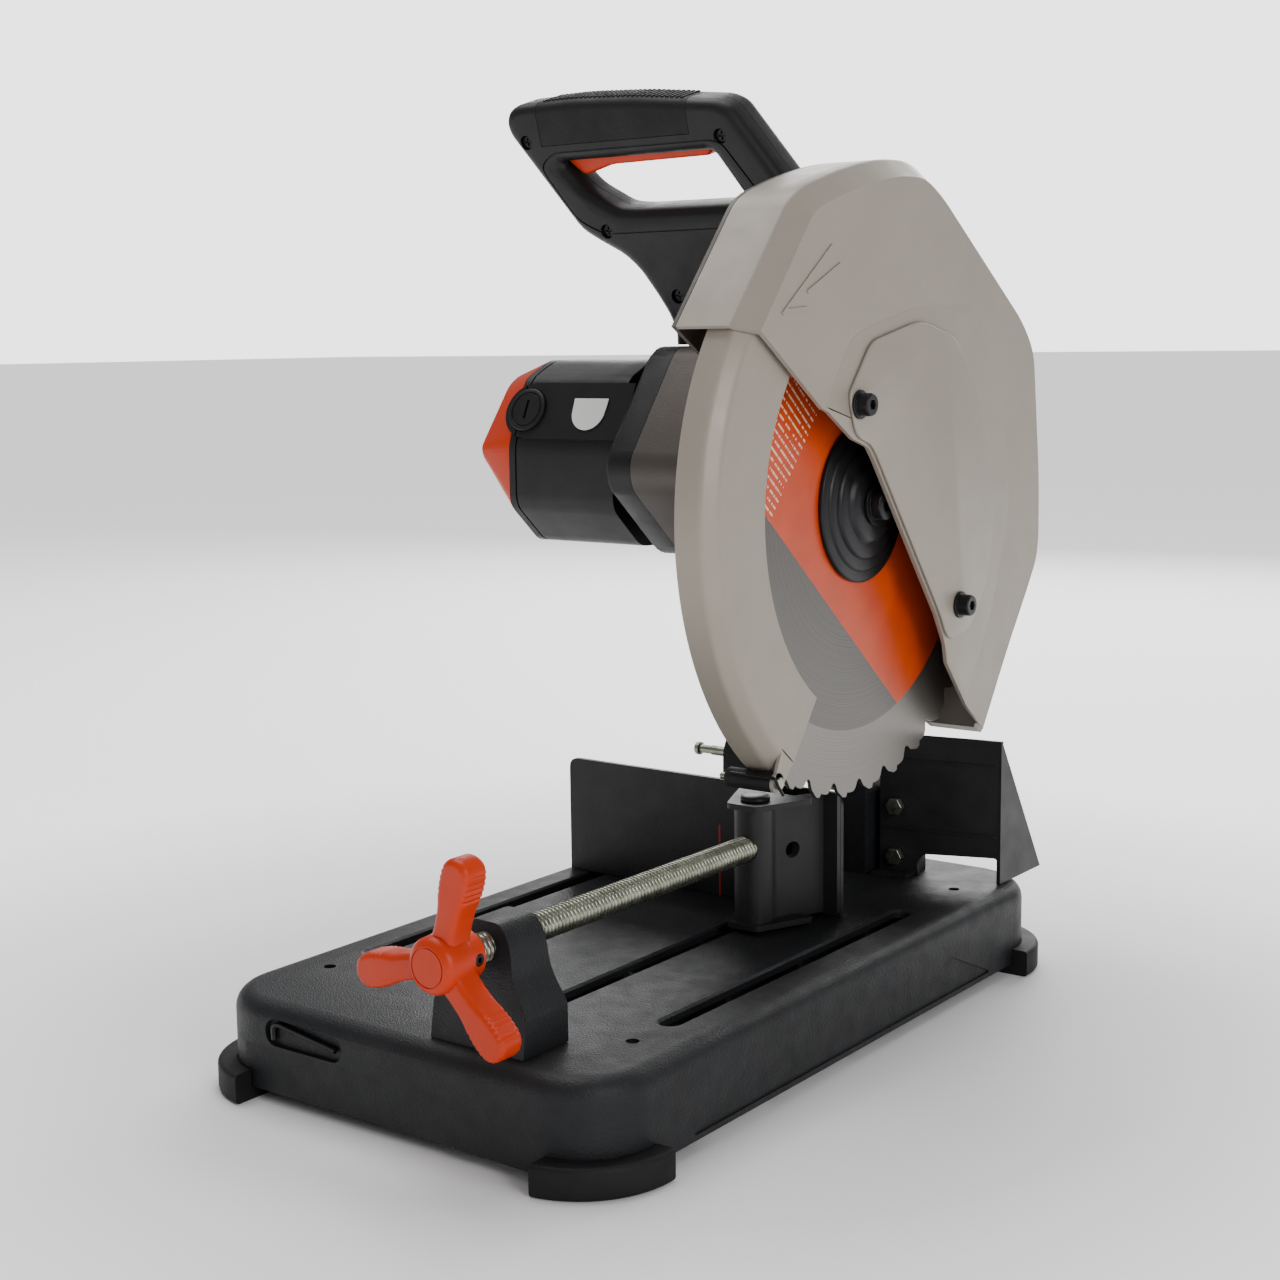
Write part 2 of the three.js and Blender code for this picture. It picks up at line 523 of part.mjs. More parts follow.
function upperGuard() {
  const g = GUARD
  const o = g.offset
  const outer = loft('x', [[g.left, guardOutline(o)], [g.crease, guardOutline(o)], [g.face, guardOutline(0)]])
  const hollowEnds = (pts) => {
    const out = pts.map((p) => [...p])
    out[0] = [out[0][0] - 19.1, out[0][1] - 23.1]
    out[FACE_CHAIN.length - 1] = [out[FACE_CHAIN.length - 1][0] - 22.8, out[FACE_CHAIN.length - 1][1] - 32.9]
    return out
  }
  const inner = loft('x', [[g.left - 5, hollowEnds(guardOutline(o - g.wall, 70))],
    [g.crease - 0.6, hollowEnds(guardOutline(o - g.wall, 70))],
    [g.face - g.wall, hollowEnds(guardOutline(-g.wall, 70))]])
  const faceOnly = cut(outer, inner)
  const bolts = COVER_BOLTS.map(([y, z]) => rod('x', 3.4, 15, 30, y, z, 20))
  return cut(faceOnly, ...bolts)
}

const COVER_BOLTS = [[-44.9, 60.2], [78, -68.2]]

function arborCover() {
  const outline = [[26.6, 107.6], [-26.9, 96.5], [-33.2, 92.2], [-53.7, 67.6], [-53.6, 61.8], [-46.9, 42],
    [-30.4, 36.9], [-23.7, 30.1], [54.2, -71.2], [65, -90.2], [96, -84], [118, -52], [124, -10], [104, 62],
    [70, 98]]
  const holes = COVER_BOLTS.map(([y, z]) => rod('x', 3.4, 20, 32, y, z, 20))
  return cut(prism('x', outline, GUARD.face + FIT, GUARD.face + 2.4, 1), ...holes)
}

function coverBolt([y, z]) {
  const head = turned('x', [[27.7, 8.4], [29, 8.4], [29.01, 6.6], [35.4, 6.6], [36.4, 5.8]], y, z, 24)
  const socket = prism('x', circle(3.2, y, z, 6), 32, 38)
  return cut(join(head, rod('x', 3, 18, 28, y, z, 20)), socket)
}

function sidePlate() {
  const plate = prism('x', guardOutline(GUARD.offset), -25, -22.2)
  return cut(join(plate, rod('x', 50, -25, -22.2, 0, 0, 32)), rod('x', 30.1, -30, -20, 0, 0, 32))
}

addHead('upper_guard', upperGuard(), WARM_GREY, 0.1, 0.55)
addHead('guard_side_plate', sidePlate(), CASTING, 0.3, 0.55)
addHead('arbor_cover', arborCover(), WARM_GREY, 0.1, 0.55)
addHead('cover_bolt_upper', coverBolt(COVER_BOLTS[0]), SATIN_BLACK, 0.8, 0.35)
addHead('cover_bolt_lower', coverBolt(COVER_BOLTS[1]), SATIN_BLACK, 0.8, 0.35)

// ---------------------------------------------------------------- gear housing with its pivot arm
const COLLAR = [[-87, -2], [-38, 64], [38, 64], [87, -2], [85, -18], [35, -62], [-35, -62], [-85, -18]]
const BODY = [[-64, 5], [-46, 45], [-22, 56], [22, 56], [46, 45], [64, 5], [64, -33], [36, -58], [-36, -58],
  [-64, -33]]
const RIM = [[-63, 2], [-34, 41], [-24, 47], [24, 47], [34, 41], [63, 2], [60, -6], [20, -46], [-20, -46],
  [-60, -6]]
const onMotor = (pts) => shift(ccw(pts), MOTOR.y, MOTOR.z)
const PIVOT_Y = PIVOT.y - ARBOR[1]
const PIVOT_Z = PIVOT.z - ARBOR[2]
const HEAD_X = (x) => x - ARBOR[0]

function headCasting() {
  const shell = loft('x', [[MOTOR.collar + FIT, onMotor(COLLAR)], [-60, onMotor(COLLAR)], [-26, onMotor(scaled(COLLAR, 0.93))]])
  const cavity = loft('x', [[-95, onMotor(inset(COLLAR, 5))], [-60, onMotor(inset(COLLAR, 5))],
    [-33, onMotor(inset(scaled(COLLAR, 0.94), 7))]])
  const nose = rod('x', 29.5, -40, -12.4, 0, 0, 32)
  const arm = prism('x', [[-28, -26], [4, -74], [101, -200], [112, -208], [125, -210.5], [138, -205],
    [146, -193], [146, -178], [76, 2], [66, 16]], HEAD_X(-3), HEAD_X(19), 3)
  const boss = rod('x', 12, HEAD_X(-47.5), HEAD_X(19.5), PIVOT_Y, PIVOT_Z)
  const rightBoss = rod('x', 22, HEAD_X(-12), HEAD_X(19.5), PIVOT_Y, PIVOT_Z)
  const lockDisc = rod('x', 27, HEAD_X(-47.5), HEAD_X(-40), PIVOT_Y, PIVOT_Z, 32)
  const body = join(cut(join(shell, arm), cavity), nose, boss, rightBoss, lockDisc)
  const spindleBore = rod('x', 10.9, -42, -10)
  const shaftBore = runningBore('x', PIVOT.shaftR, HEAD_X(-60), HEAD_X(30), PIVOT_Y, PIVOT_Z)
  const lockHoles = [0, -27].map((deg) => {
    const [y, z] = turnedPoint(LOCK.y - PIVOT.y, LOCK.z - PIVOT.z, deg)
    return rod('x', LOCK.r + 0.3, HEAD_X(-49), HEAD_X(-38), PIVOT_Y + y, PIVOT_Z + z, 20)
  })
  return cut(body, spindleBore, shaftBore, ...lockHoles)
}

function turnedPoint(y, z, deg) {
  const c = Math.cos(rad(deg))
  const s = Math.sin(rad(deg))
  return [y * c - z * s, y * s + z * c]
}

// ---------------------------------------------------------------- motor
function panelSlab(grow, side) {
  const [dy, dz] = [0.41, 0.912]
  const [ny, nz] = [-0.912, 0.41]
  const p = (t, h) => [side * (-64 + t * dy + h * ny), 5 + t * dz + h * nz]
  const pts = [p(3 - grow, -4), p(3 - grow, 2.4 + grow), p(40 + grow, 2.4 + grow), p(40 + grow, -4)]
  const end = Manifold.cylinder(4.9 + grow, 17.5 + grow, 17.5 + grow, 32).translate([0, 0, -2.5])
  return join(prism('x', onMotor(pts), BRUSH.x, -116), onPanel(end, BRUSH.x, side))
}

function onPanel(solid, x, side) {
  const tilt = side > 0 ? 90 - 24.2 : -(90 - 24.2)
  const y = MOTOR.y + side * (-64 + 21.5 * 0.41)
  return solid.rotate([tilt, 0, 0]).translate([x, y, MOTOR.z + 5 + 21.5 * 0.912])
}

function motorHousing() {
  const body = loft('x', [[MOTOR.seam, onMotor(BODY)], [-124, onMotor(BODY)]])
  const collar = loft('x', [[-126, onMotor(scaled(COLLAR, 0.7))], [-113, onMotor(scaled(COLLAR, 0.97))],
    [-110, onMotor(COLLAR)], [MOTOR.collar, onMotor(COLLAR)]])
  const solid = join(body, collar, panelSlab(0, 1), panelSlab(0, -1))
  const bore = rod('x', MOTOR.bore, -230, MOTOR.collar + 1, MOTOR.y, MOTOR.z, 32)
  const caps = [1, -1].map((side) => brushHole(side))
  return cut(solid, bore, ...caps)
}

function endCap() {
  const body = loft('x', [[MOTOR.x0, onMotor(inset(RIM, 2.5))], [MOTOR.x0 + 2.5, onMotor(RIM)],
    [MOTOR.seam - FIT, onMotor(BODY)]])
  const pocket = rod('x', 40, -222, -200, MOTOR.y, MOTOR.z, 32)
  const vents = [-24, -16, -8, 8, 16, 24].map((dz) => block(-235, -218, MOTOR.y - 18, MOTOR.y + 18,
    MOTOR.z + dz - 2, MOTOR.z + dz + 2))
  const caps = [1, -1].map((side) => brushHole(side))
  return cut(body, panelSlab(FIT, 1), panelSlab(FIT, -1), pocket, ...vents, ...caps)
}

function brushHole(side) {
  const r = BRUSH.r + FIT
  return onPanel(Manifold.cylinder(20, r, r, 28).translate([0, 0, -4]), BRUSH.x, side)
}

function brushCap(side) {
  const disc = Manifold.cylinder(6, BRUSH.r, BRUSH.r, 28).translate([0, 0, -2.6])
  const rim = Manifold.cylinder(1.2, BRUSH.r, BRUSH.r - 1, 28).translate([0, 0, 3.4])
  const slot = Manifold.cube([2, 13, 4]).translate([-1, -6.5, 2.6])
  return onPanel(cut(join(disc, rim), slot), BRUSH.x, side)
}

function ratingLabel() {
  const pts = [[-13, 8], [13, 8], [13, 4], ...[0, 1, 2, 3, 4, 5, 6, 7, 8].map((i) => at(12.6, -10 - i * 20))]
  return onPanel(prism('z', pts, 2.7, 3.3), -146, 1)
}

function stator() {
  const ring = rod('x', 46, -186, -136, MOTOR.y, MOTOR.z, 32)
  return cut(ring, rod('x', 29, -190, -130, MOTOR.y, MOTOR.z, 32))
}

function armature() {
  const [y, z] = [MOTOR.y, MOTOR.z]
  const shaft = rod('x', 5, -221, -64, y, z, 24)
  const core = prism('x', circle(28, y, z), -184, -138, 1.5)
  const commutator = rod('x', 14, -206, -192, y, z)
  return join(shaft, core, commutator, toothedDisc(-82, -66, 6.9, 1.4, 14, y, z))
}

function fan() {
  const [y, z] = [MOTOR.y, MOTOR.z]
  const plate = turned('x', [[-127, 43], [-125.4, 43], [-125.39, 12], [-114, 11]], y, z)
  const vanes = Array.from({ length: 9 }, (_, i) => Manifold.cube([8.6, 29, 1.6]).translate([-125.6, 12, -0.8])
    .rotate([i * 40, 0, 0]).translate([0, y, z]))
  return cut(join(plate, ...vanes), rod('x', 5.3, -130, -110, y, z, 24))
}

function cableInlet() {
  const gland = turned('y', [[48, 9], [52, 9], [52.01, 7.5], [66, 6.5], [68, 5.6]], -214, 22, 24)
  return cut(gland, rod('y', 4, 46, 70, -214, 22, 20))
}

addHead('head_casting', headCasting(), CASTING, 0.5, 0.5)
addHead('motor_housing', motorHousing(), SATIN_BLACK, 0, 0.6)
addHead('motor_end_cap', cut(endCap(), rod('y', 9.3, 40, 60, -214, 22, 24)), ORANGE, 0, 0.5)
addHead('brush_cap_front', brushCap(1), SATIN_BLACK, 0, 0.5)
addHead('brush_cap_rear', brushCap(-1), SATIN_BLACK, 0, 0.5)
addHead('rating_label', ratingLabel(), 0xe6e6e2, 0, 0.5)
addHead('motor_stator', stator(), STEEL, 0.7, 0.5)
addHead('motor_armature', armature(), STEEL, 0.8, 0.4)
addHead('motor_fan', fan(), SATIN_BLACK, 0, 0.6)
addHead('cable_inlet', cableInlet(), RUBBER, 0, 0.8)

// ---------------------------------------------------------------- D-handle, drawn in its own tilted plane
const D_OUTLINE = [[-138, -12], [-138, 4], [-136.5, 12], [-139, 23], [-146, 36.7], [-156, 53], [-166, 62.7],
  [-184, 72.5], [-196, 80], [-239, 143], [-240.5, 151], [-237, 158], [-229, 161.5], [-184, 162],
  [-138, 159.5], [-78, 153], [-69, 148.5], [-35, 97.5], [-29, 80], [-33, 60], [-58, 22], [-62, -12]]
const D_HOLE = [[-203, 124], [-188, 106], [-165, 92.5], [-152, 91], [-74, 90.5], [-67, 94], [-84, 121], [-88, 124]]
const D_SCREWS = [[-225, 138], [-77, 132], [-174, 79], [-128, 36]]
const RUBBER_X = [-213, -99]

function fromHandlePlane(solid) {
  const c = Math.cos(rad(GRIP.tilt))
  const s = Math.sin(rad(GRIP.tilt))
  return solid.transform([1, 0, 0, 0, 0, -s, c, 0, 0, -c, -s, 0, 0, GRIP.y, GRIP.z, 1])
}

function handleBody(shrink) {
  return prism('z', inset(D_OUTLINE, shrink), -GRIP.half + shrink, GRIP.half - shrink, 3.5)
}

const rubberZone = (grow) => block(RUBBER_X[0] - grow, RUBBER_X[1] + grow, 135 - grow, 200, -40, 40)

function handleShell(side) {
  const outside = handleBody(0).subtract(rubberZone(FIT))
  const core = handleBody(2.6).intersect(rubberZone(1))
  const opening = prism('z', D_HOLE, -40, 40)
  const slot = block(-207, -86, 120, 138, -6.8, 6.8)
  const screwWells = D_SCREWS.map(([x, s]) => rod('z', 4.6, side > 0 ? 9 : -40, side > 0 ? 40 : -9, x, s, 20))
  const half = side > 0 ? block(-260, 0, -30, 200, 0.15, 40) : block(-260, 0, -30, 200, -40, -0.15)
  const body = cut(join(outside, core), opening, slot, ...screwWells).intersect(half)
  return fromHandlePlane(body).subtract(block(-260, 0, -80, 100, 40, 94.7))
}

function gripRubber() {
  const ribs = Array.from({ length: 20 }, (_, i) => block(-209 + i * 5.4, -207.4 + i * 5.4, 145, 175, -20, 20))
  const ridges = join(...ribs).intersect(prism('z', inset(D_OUTLINE, -0.8), -GRIP.half + 3, GRIP.half - 3))
  const sleeve = join(handleBody(0), ridges).intersect(rubberZone(0))
  return fromHandlePlane(cut(sleeve, handleBody(2.3)))
}

function trigger() {
  const pts = [[-202, 124], [-196, 118.2], [-190, 113.2], [-168, 118.6], [-93, 119.6], [-90.5, 124],
    [-90.5, 128.5], [-203, 128.5]]
  return fromHandlePlane(prism('z', pts, -6, 6, 1.2))
}

function handleScrew([x, s]) {
  const body = turned('z', [[9.3, 3.8], [12.2, 4.2], [12.6, 3.8]], x, s, 20)
  return fromHandlePlane(cut(body, block(x - 2.6, x + 2.6, s - 0.6, s + 0.6, 11.4, 14),
    block(x - 0.6, x + 0.6, s - 2.6, s + 2.6, 11.4, 14)))
}

addHead('handle_shell_front', handleShell(1), SATIN_BLACK, 0, 0.6)
addHead('handle_shell_rear', handleShell(-1), SATIN_BLACK, 0, 0.6)
addHead('handle_grip', gripRubber(), RUBBER, 0, 0.85)
addHead('trigger', trigger(), ORANGE, 0, 0.5)
D_SCREWS.forEach((spot, i) => addHead(`handle_screw_${i + 1}`, handleScrew(spot), STEEL, 0.9, 0.35))

// ---------------------------------------------------------------- stand the saw on Z = 0, centred
const box = new THREE.Box3().setFromObject(saw)
const move = new THREE.Vector3(-(box.min.x + box.max.x) / 2, -(box.min.y + box.max.y) / 2, -box.min.z)
for (const mesh of saw.children) mesh.geometry.translate(move.x, move.y, move.z)

export default saw
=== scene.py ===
import json
import math

import bmesh
import bpy
from mathutils import Matrix, Vector


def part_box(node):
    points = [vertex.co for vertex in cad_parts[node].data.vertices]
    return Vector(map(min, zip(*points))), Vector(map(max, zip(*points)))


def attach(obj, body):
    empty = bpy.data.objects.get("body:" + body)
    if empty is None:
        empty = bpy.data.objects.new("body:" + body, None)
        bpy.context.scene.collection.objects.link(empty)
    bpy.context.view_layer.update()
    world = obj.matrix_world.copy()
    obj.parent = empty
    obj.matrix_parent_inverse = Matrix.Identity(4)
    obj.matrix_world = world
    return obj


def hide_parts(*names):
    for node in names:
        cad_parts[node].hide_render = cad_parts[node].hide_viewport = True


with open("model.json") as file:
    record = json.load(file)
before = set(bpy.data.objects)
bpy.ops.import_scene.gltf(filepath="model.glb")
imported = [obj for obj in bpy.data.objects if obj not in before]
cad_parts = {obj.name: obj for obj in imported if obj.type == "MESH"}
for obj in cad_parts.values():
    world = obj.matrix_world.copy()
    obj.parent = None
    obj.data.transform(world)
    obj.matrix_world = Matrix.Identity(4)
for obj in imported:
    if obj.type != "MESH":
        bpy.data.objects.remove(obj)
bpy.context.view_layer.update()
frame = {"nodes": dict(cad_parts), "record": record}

# ------------------------------------------------------------------ driving sizes, in millimetres
SHIFT_Y = (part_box("base")[0].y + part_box("base")[1].y) * 500   # the row frame against the drawing frame
ARBOR = (90, 82, 313)                                         # blade centre, head up
MOTOR = (-15, 30)                                             # motor axis from the arbor, in Y and Z
PIVOT = (205, 126)                                            # head pivot axis, in Y and Z
LOCK = (185, 124.5)                                           # lock pin axis, in Y and Z
VISE = (51.5, 109)                                            # vise screw axis, in X and Z
ROLLER = (188.3, 231.3)                                       # radius and angle about the arbor
GRIP_TILT, GRIP_Y, GRIP_Z, GRIP_HALF = 16, 20, 94, 15
BLADE_R, TEETH = 177.5, 36
BAND_R = 0.1365                                               # inner edge of the bright blade rim, metres
INK_SIDE, INK_ALONG = (-0.655, -0.756), (0.756, -0.655)       # directions across and along the printed edge
PANEL_SLOPE = (0.41, 0.912)                                   # how the motor's side facets lean
BRUSH_X = -194.5                                              # brush cap centres from the arbor
DEFLECTOR_SLOPE = 15 / 81
PITCH = 3.0                                                   # vise screw thread
COVER_BOLTS = ((-44.9, 60.2), (78, -68.2))

# Strengths of the white surroundings: as the camera sees them, and as they light the saw.
BACKDROP = 3.0
FILL = 0.3

RECORD = frame["record"]
BODY_OF = {n: b for b, nodes in RECORD["behaviour"]["bodies"].items() for n in nodes}
SLOT_OF = {s["node"]: s["material_slot"] for s in RECORD["subparts"]}


# ------------------------------------------------------------------ outlines
def polar(r, deg):
    return (r * math.cos(math.radians(deg)), r * math.sin(math.radians(deg)))


def moved(points, du, dv):
    return [(u + du, v + dv) for u, v in points]


def scaled(points, k):
    return [(u * k, v * k) for u, v in points]


def area(points):
    return sum(a[0] * b[1] - b[0] * a[1] for a, b in zip(points, points[1:] + points[:1])) / 2


def ccw(points):
    points = [tuple(p) for p in points]
    return points if area(points) > 0 else points[::-1]


def inset(points, d):
    pts = ccw(points)
    out = []
    for i, p in enumerate(pts):
        a, b = side_normal(pts[i - 1], p), side_normal(p, pts[(i + 1) % len(pts)])
        k = d / max(1 + a[0] * b[0] + a[1] * b[1], 0.35)
        out.append((p[0] + (a[0] + b[0]) * k, p[1] + (a[1] + b[1]) * k))
    return out


def side_normal(p, q):
    length = math.hypot(q[0] - p[0], q[1] - p[1])
    return (-(q[1] - p[1]) / length, (q[0] - p[0]) / length)


def filleted(points, radius, n=4, sharp=()):
    """The outline with each corner rounded, apart from the corners listed in sharp."""
    pts = [Vector(p) for p in points]
    out = []
    for i, p in enumerate(pts):
        back, ahead = pts[i - 1] - p, pts[(i + 1) % len(pts)] - p
        reach = 0 if i in sharp else min(radius, back.length * 0.45, ahead.length * 0.45)
        a, b = p + back.normalized() * reach, p + ahead.normalized() * reach
        for k in range(n + 1):
            t = k / n
            out.append(tuple(a * (1 - t) ** 2 + p * 2 * t * (1 - t) + b * t * t))
            if not reach:
                break
    return out


def circle(r, cu=0, cv=0, n=64):
    return [(cu + polar(r, 360 * i / n)[0], cv + polar(r, 360 * i / n)[1]) for i in range(n)]


def round_rect(hu, hv, r, cu=0, cv=0, n=8):
    out = []
    corners = ((hu - r, hv - r, 0), (r - hu, hv - r, 90), (r - hu, r - hv, 180), (hu - r, r - hv, 270))
    for u, v, start in corners:
        out += [(cu + u + polar(r, start + 90 * i / n)[0], cv + v + polar(r, start + 90 * i / n)[1])
                for i in range(n + 1)]
    return out


# ------------------------------------------------------------------ solids
def spot(axis, a, u, v):
    return {"x": (a, u, v), "y": (u, a, v), "z": (u, v, a)}[axis]


def solid(name, rings):
    n = len(rings[0])
    faces = [(k * n + i, k * n + (i + 1) % n, (k + 1) * n + (i + 1) % n, (k + 1) * n + i)
             for k in range(len(rings) - 1) for i in range(n)]
    faces += [tuple(range(n))[::-1], tuple(range((len(rings) - 1) * n, len(rings) * n))]
    mesh = bpy.data.meshes.new(name)
    mesh.from_pydata([tuple(p) for ring in rings for p in ring], [], faces)
    bm = bmesh.new()
    bm.from_mesh(mesh)
    bmesh.ops.recalc_face_normals(bm, faces=bm.faces)
    bm.to_mesh(mesh)
    bm.free()
    obj = bpy.data.objects.new(name, mesh)
    bpy.context.scene.collection.objects.link(obj)
    return obj


def loft(axis, sections):
    return solid("loft", [[spot(axis, a, u, v) for u, v in pts] for a, pts in sections])


def prism(axis, points, a0, a1, edge=0, steps=3):
    pts = ccw(points)
    if not edge:
        return loft(axis, [(a0, pts), (a1, pts)])
    turn = [math.radians(90 * k / steps) for k in range(steps + 1)]
    low = [(a0 + edge * (1 - math.cos(t)), inset(pts, edge * (1 - math.sin(t)))) for t in turn]
    high = [(a0 + a1 - a, ring) for a, ring in reversed(low)]
    return loft(axis, low + high)


def rod(axis, r, a0, a1, cu=0, cv=0, n=48, edge=0):
    return prism(axis, circle(r, cu, cv, n), a0, a1, edge)


def turned(axis, steps, cu=0, cv=0, n=96):
    return loft(axis, [(a, circle(r, cu, cv, n)) for a, r in steps])


def block(x0, x1, y0, y1, z0, z1):
    return loft("z", [(z, [(x0, y0), (x1, y0), (x1, y1), (x0, y1)]) for z in (z0, z1)])


def sector(profile, a0, a1, n):
    angles = [a0 + (a1 - a0) * i / n for i in range(n + 1)]
    return solid("sector", [[(x, *polar(r, a)) for x, r in profile] for a in angles])


def smooth_path(points, steps):
    pts = [Vector(p) for p in points]
    pts = [pts[0] * 2 - pts[1]] + pts + [pts[-1] * 2 - pts[-2]]
    out = []
    for i in range(1, len(pts) - 2):
        for k in range(steps):
            t = k / steps
            a, b, c, d = pts[i - 1:i + 3]
            out.append(0.5 * (2 * b + (c - a) * t + (2 * a - 5 * b + 4 * c - d) * t * t
                              + (3 * b - a - 3 * c + d) * t ** 3))
    return out + [pts[-2]]


def tube(points, r, steps=8, sides=16):
    path = smooth_path(points, steps)
    normal = (path[1] - path[0]).orthogonal().normalized()
    rings = []
    for i, p in enumerate(path):
        along = (path[min(i + 1, len(path) - 1)] - path[max(i - 1, 0)]).normalized()
        normal = (normal - along * normal.dot(along)).normalized()
        other = along.cross(normal)
        rings.append([p + normal * u + other * v for u, v in circle(r, n=sides)])
    return solid("tube", rings)


def boolean(obj, tools, operation):
    for tool in tools:
        modifier = obj.modifiers.new("b", "BOOLEAN")
        modifier.operation = operation
        modifier.solver = "EXACT"
        modifier.object = tool
        bpy.context.view_layer.update()
        mesh = bpy.data.meshes.new_from_object(obj.evaluated_get(bpy.context.evaluated_depsgraph_get()))
        obj.modifiers.clear()
        obj.data = mesh
        bpy.data.objects.remove(tool, do_unlink=True)
    return obj


def cut(obj, *tools):
    return boolean(obj, tools, "DIFFERENCE")


def join(obj, *tools):
    return boolean(obj, tools, "UNION")


def keep(obj, *tools):
    return boolean(obj, tools, "INTERSECT")


def turn_about(obj, axis, deg):
    obj.data.transform(Matrix.Rotation(math.radians(deg), 4, axis))
    return obj


def shifted(obj, dx, dy, dz):
    obj.data.transform(Matrix.Translation((dx, dy, dz)))
    return obj


# ------------------------------------------------------------------ materials
class Nodes:
    """A small helper that adds shader nodes and links them."""

    def __init__(self, name):
        self.material = bpy.data.materials.new(name)
        self.material.use_nodes = True
        self.tree = self.material.node_tree
        self.shader = self.tree.nodes["Principled BSDF"]
        self.place = self.add("ShaderNodeTexCoord").outputs["Object"]

    def add(self, kind, **settings):
        node = self.tree.nodes.new(kind)
        for key, value in settings.items():
            setattr(node, key, value)
        return node

    def link(self, source, target):
        self.tree.links.new(source, target)

    def feed(self, socket, value):
        if hasattr(value, "is_linked"):
            self.link(value, socket)
        else:
            socket.default_value = value

    def noise(self, scale, detail=4, where=None):
        node = self.add("ShaderNodeTexNoise")
        self.link(where or self.place, node.inputs["Vector"])
        node.inputs["Scale"].default_value = scale
        node.inputs["Detail"].default_value = detail
        return node.outputs["Fac"]

    def cells(self, scale):
        node = self.add("ShaderNodeTexVoronoi")
        self.link(self.place, node.inputs["Vector"])
        node.inputs["Scale"].default_value = scale
        return node.outputs["Distance"]

    def math(self, operation, a, b=0.0):
        node = self.add("ShaderNodeMath", operation=operation)
        self.feed(node.inputs[0], a)
        self.feed(node.inputs[1], b)
        return node.outputs[0]

    def ramp(self, fac, *stops):
        node = self.add("ShaderNodeValToRGB")
        self.link(fac, node.inputs["Fac"])
        while len(node.color_ramp.elements) < len(stops):
            node.color_ramp.elements.new(0.5)
        for element, (where, colour) in zip(node.color_ramp.elements, stops):
            element.position = where
            element.color = (*colour, 1)
        return node.outputs["Color"]

    def mix(self, fac, a, b):
        node = self.add("ShaderNodeMix", data_type="RGBA")
        self.feed(node.inputs["Factor"], fac)
        for socket, value in ((node.inputs["A"], a), (node.inputs["B"], b)):
            self.feed_colour(socket, value)
        return node.outputs["Result"]

    def feed_colour(self, socket, value):
        if hasattr(value, "is_linked"):
            self.link(value, socket)
        else:
            socket.default_value = (*value, 1)

    def span(self, fac, low, high):
        node = self.add("ShaderNodeMapRange")
        self.link(fac, node.inputs["Value"])
        node.inputs["From Min"].default_value = 0.3
        node.inputs["From Max"].default_value = 0.7
        node.inputs["To Min"].default_value = low
        node.inputs["To Max"].default_value = high
        return node.outputs["Result"]

    def bump(self, height, strength, distance, under=None):
        node = self.add("ShaderNodeBump")
        self.link(height, node.inputs["Height"])
        node.inputs["Strength"].default_value = strength
        node.inputs["Distance"].default_value = distance
        if under is not None:
            self.link(under, node.inputs["Normal"])
        return node.outputs["Normal"]

    def finish(self, colour, rough, normal, metallic=0.0):
        self.link(colour, self.shader.inputs["Base Color"])
        self.link(rough, self.shader.inputs["Roughness"])
        self.link(normal, self.shader.inputs["Normal"])
        self.shader.inputs["Metallic"].default_value = metallic
        self.shader.inputs["Specular IOR Level"].default_value = 0.3
        return self.material


def linear(rgb):
    return tuple(((c / 255 + 0.055) / 1.055) ** 2.4 if c > 10 else c / 255 / 12.92 for c in rgb)


def coat(name, rgb, shade=0.8, rough=(0.4, 0.5), grain=900, bump=0.15, metallic=0.0, wave=6):
    """Paint, plastic or plating: a mottled colour, uneven gloss and a fine grain over a slow ripple."""
    m = Nodes(name)
    tone = linear(rgb)
    dark = tuple(c * shade for c in tone)
    colour = m.ramp(m.noise(22, 6), (0.3, dark), (0.7, tone))
    slow = m.bump(m.noise(wave, 2), 0.12, 0.002)
    normal = m.bump(m.noise(grain, 3), bump, 0.0006, slow)
    return m.finish(colour, m.span(m.noise(60, 5), *rough), normal, metallic)


def cast_black():
    m = Nodes("cast_black")
    colour = m.ramp(m.noise(30, 6), (0.3, linear((22, 23, 25))), (0.7, linear((31, 32, 35))))
    pebbles = m.bump(m.cells(900), 0.35, 0.0006, m.bump(m.noise(8, 2), 0.1, 0.002))
    return m.finish(colour, m.span(m.noise(80, 5), 0.42, 0.55), pebbles)


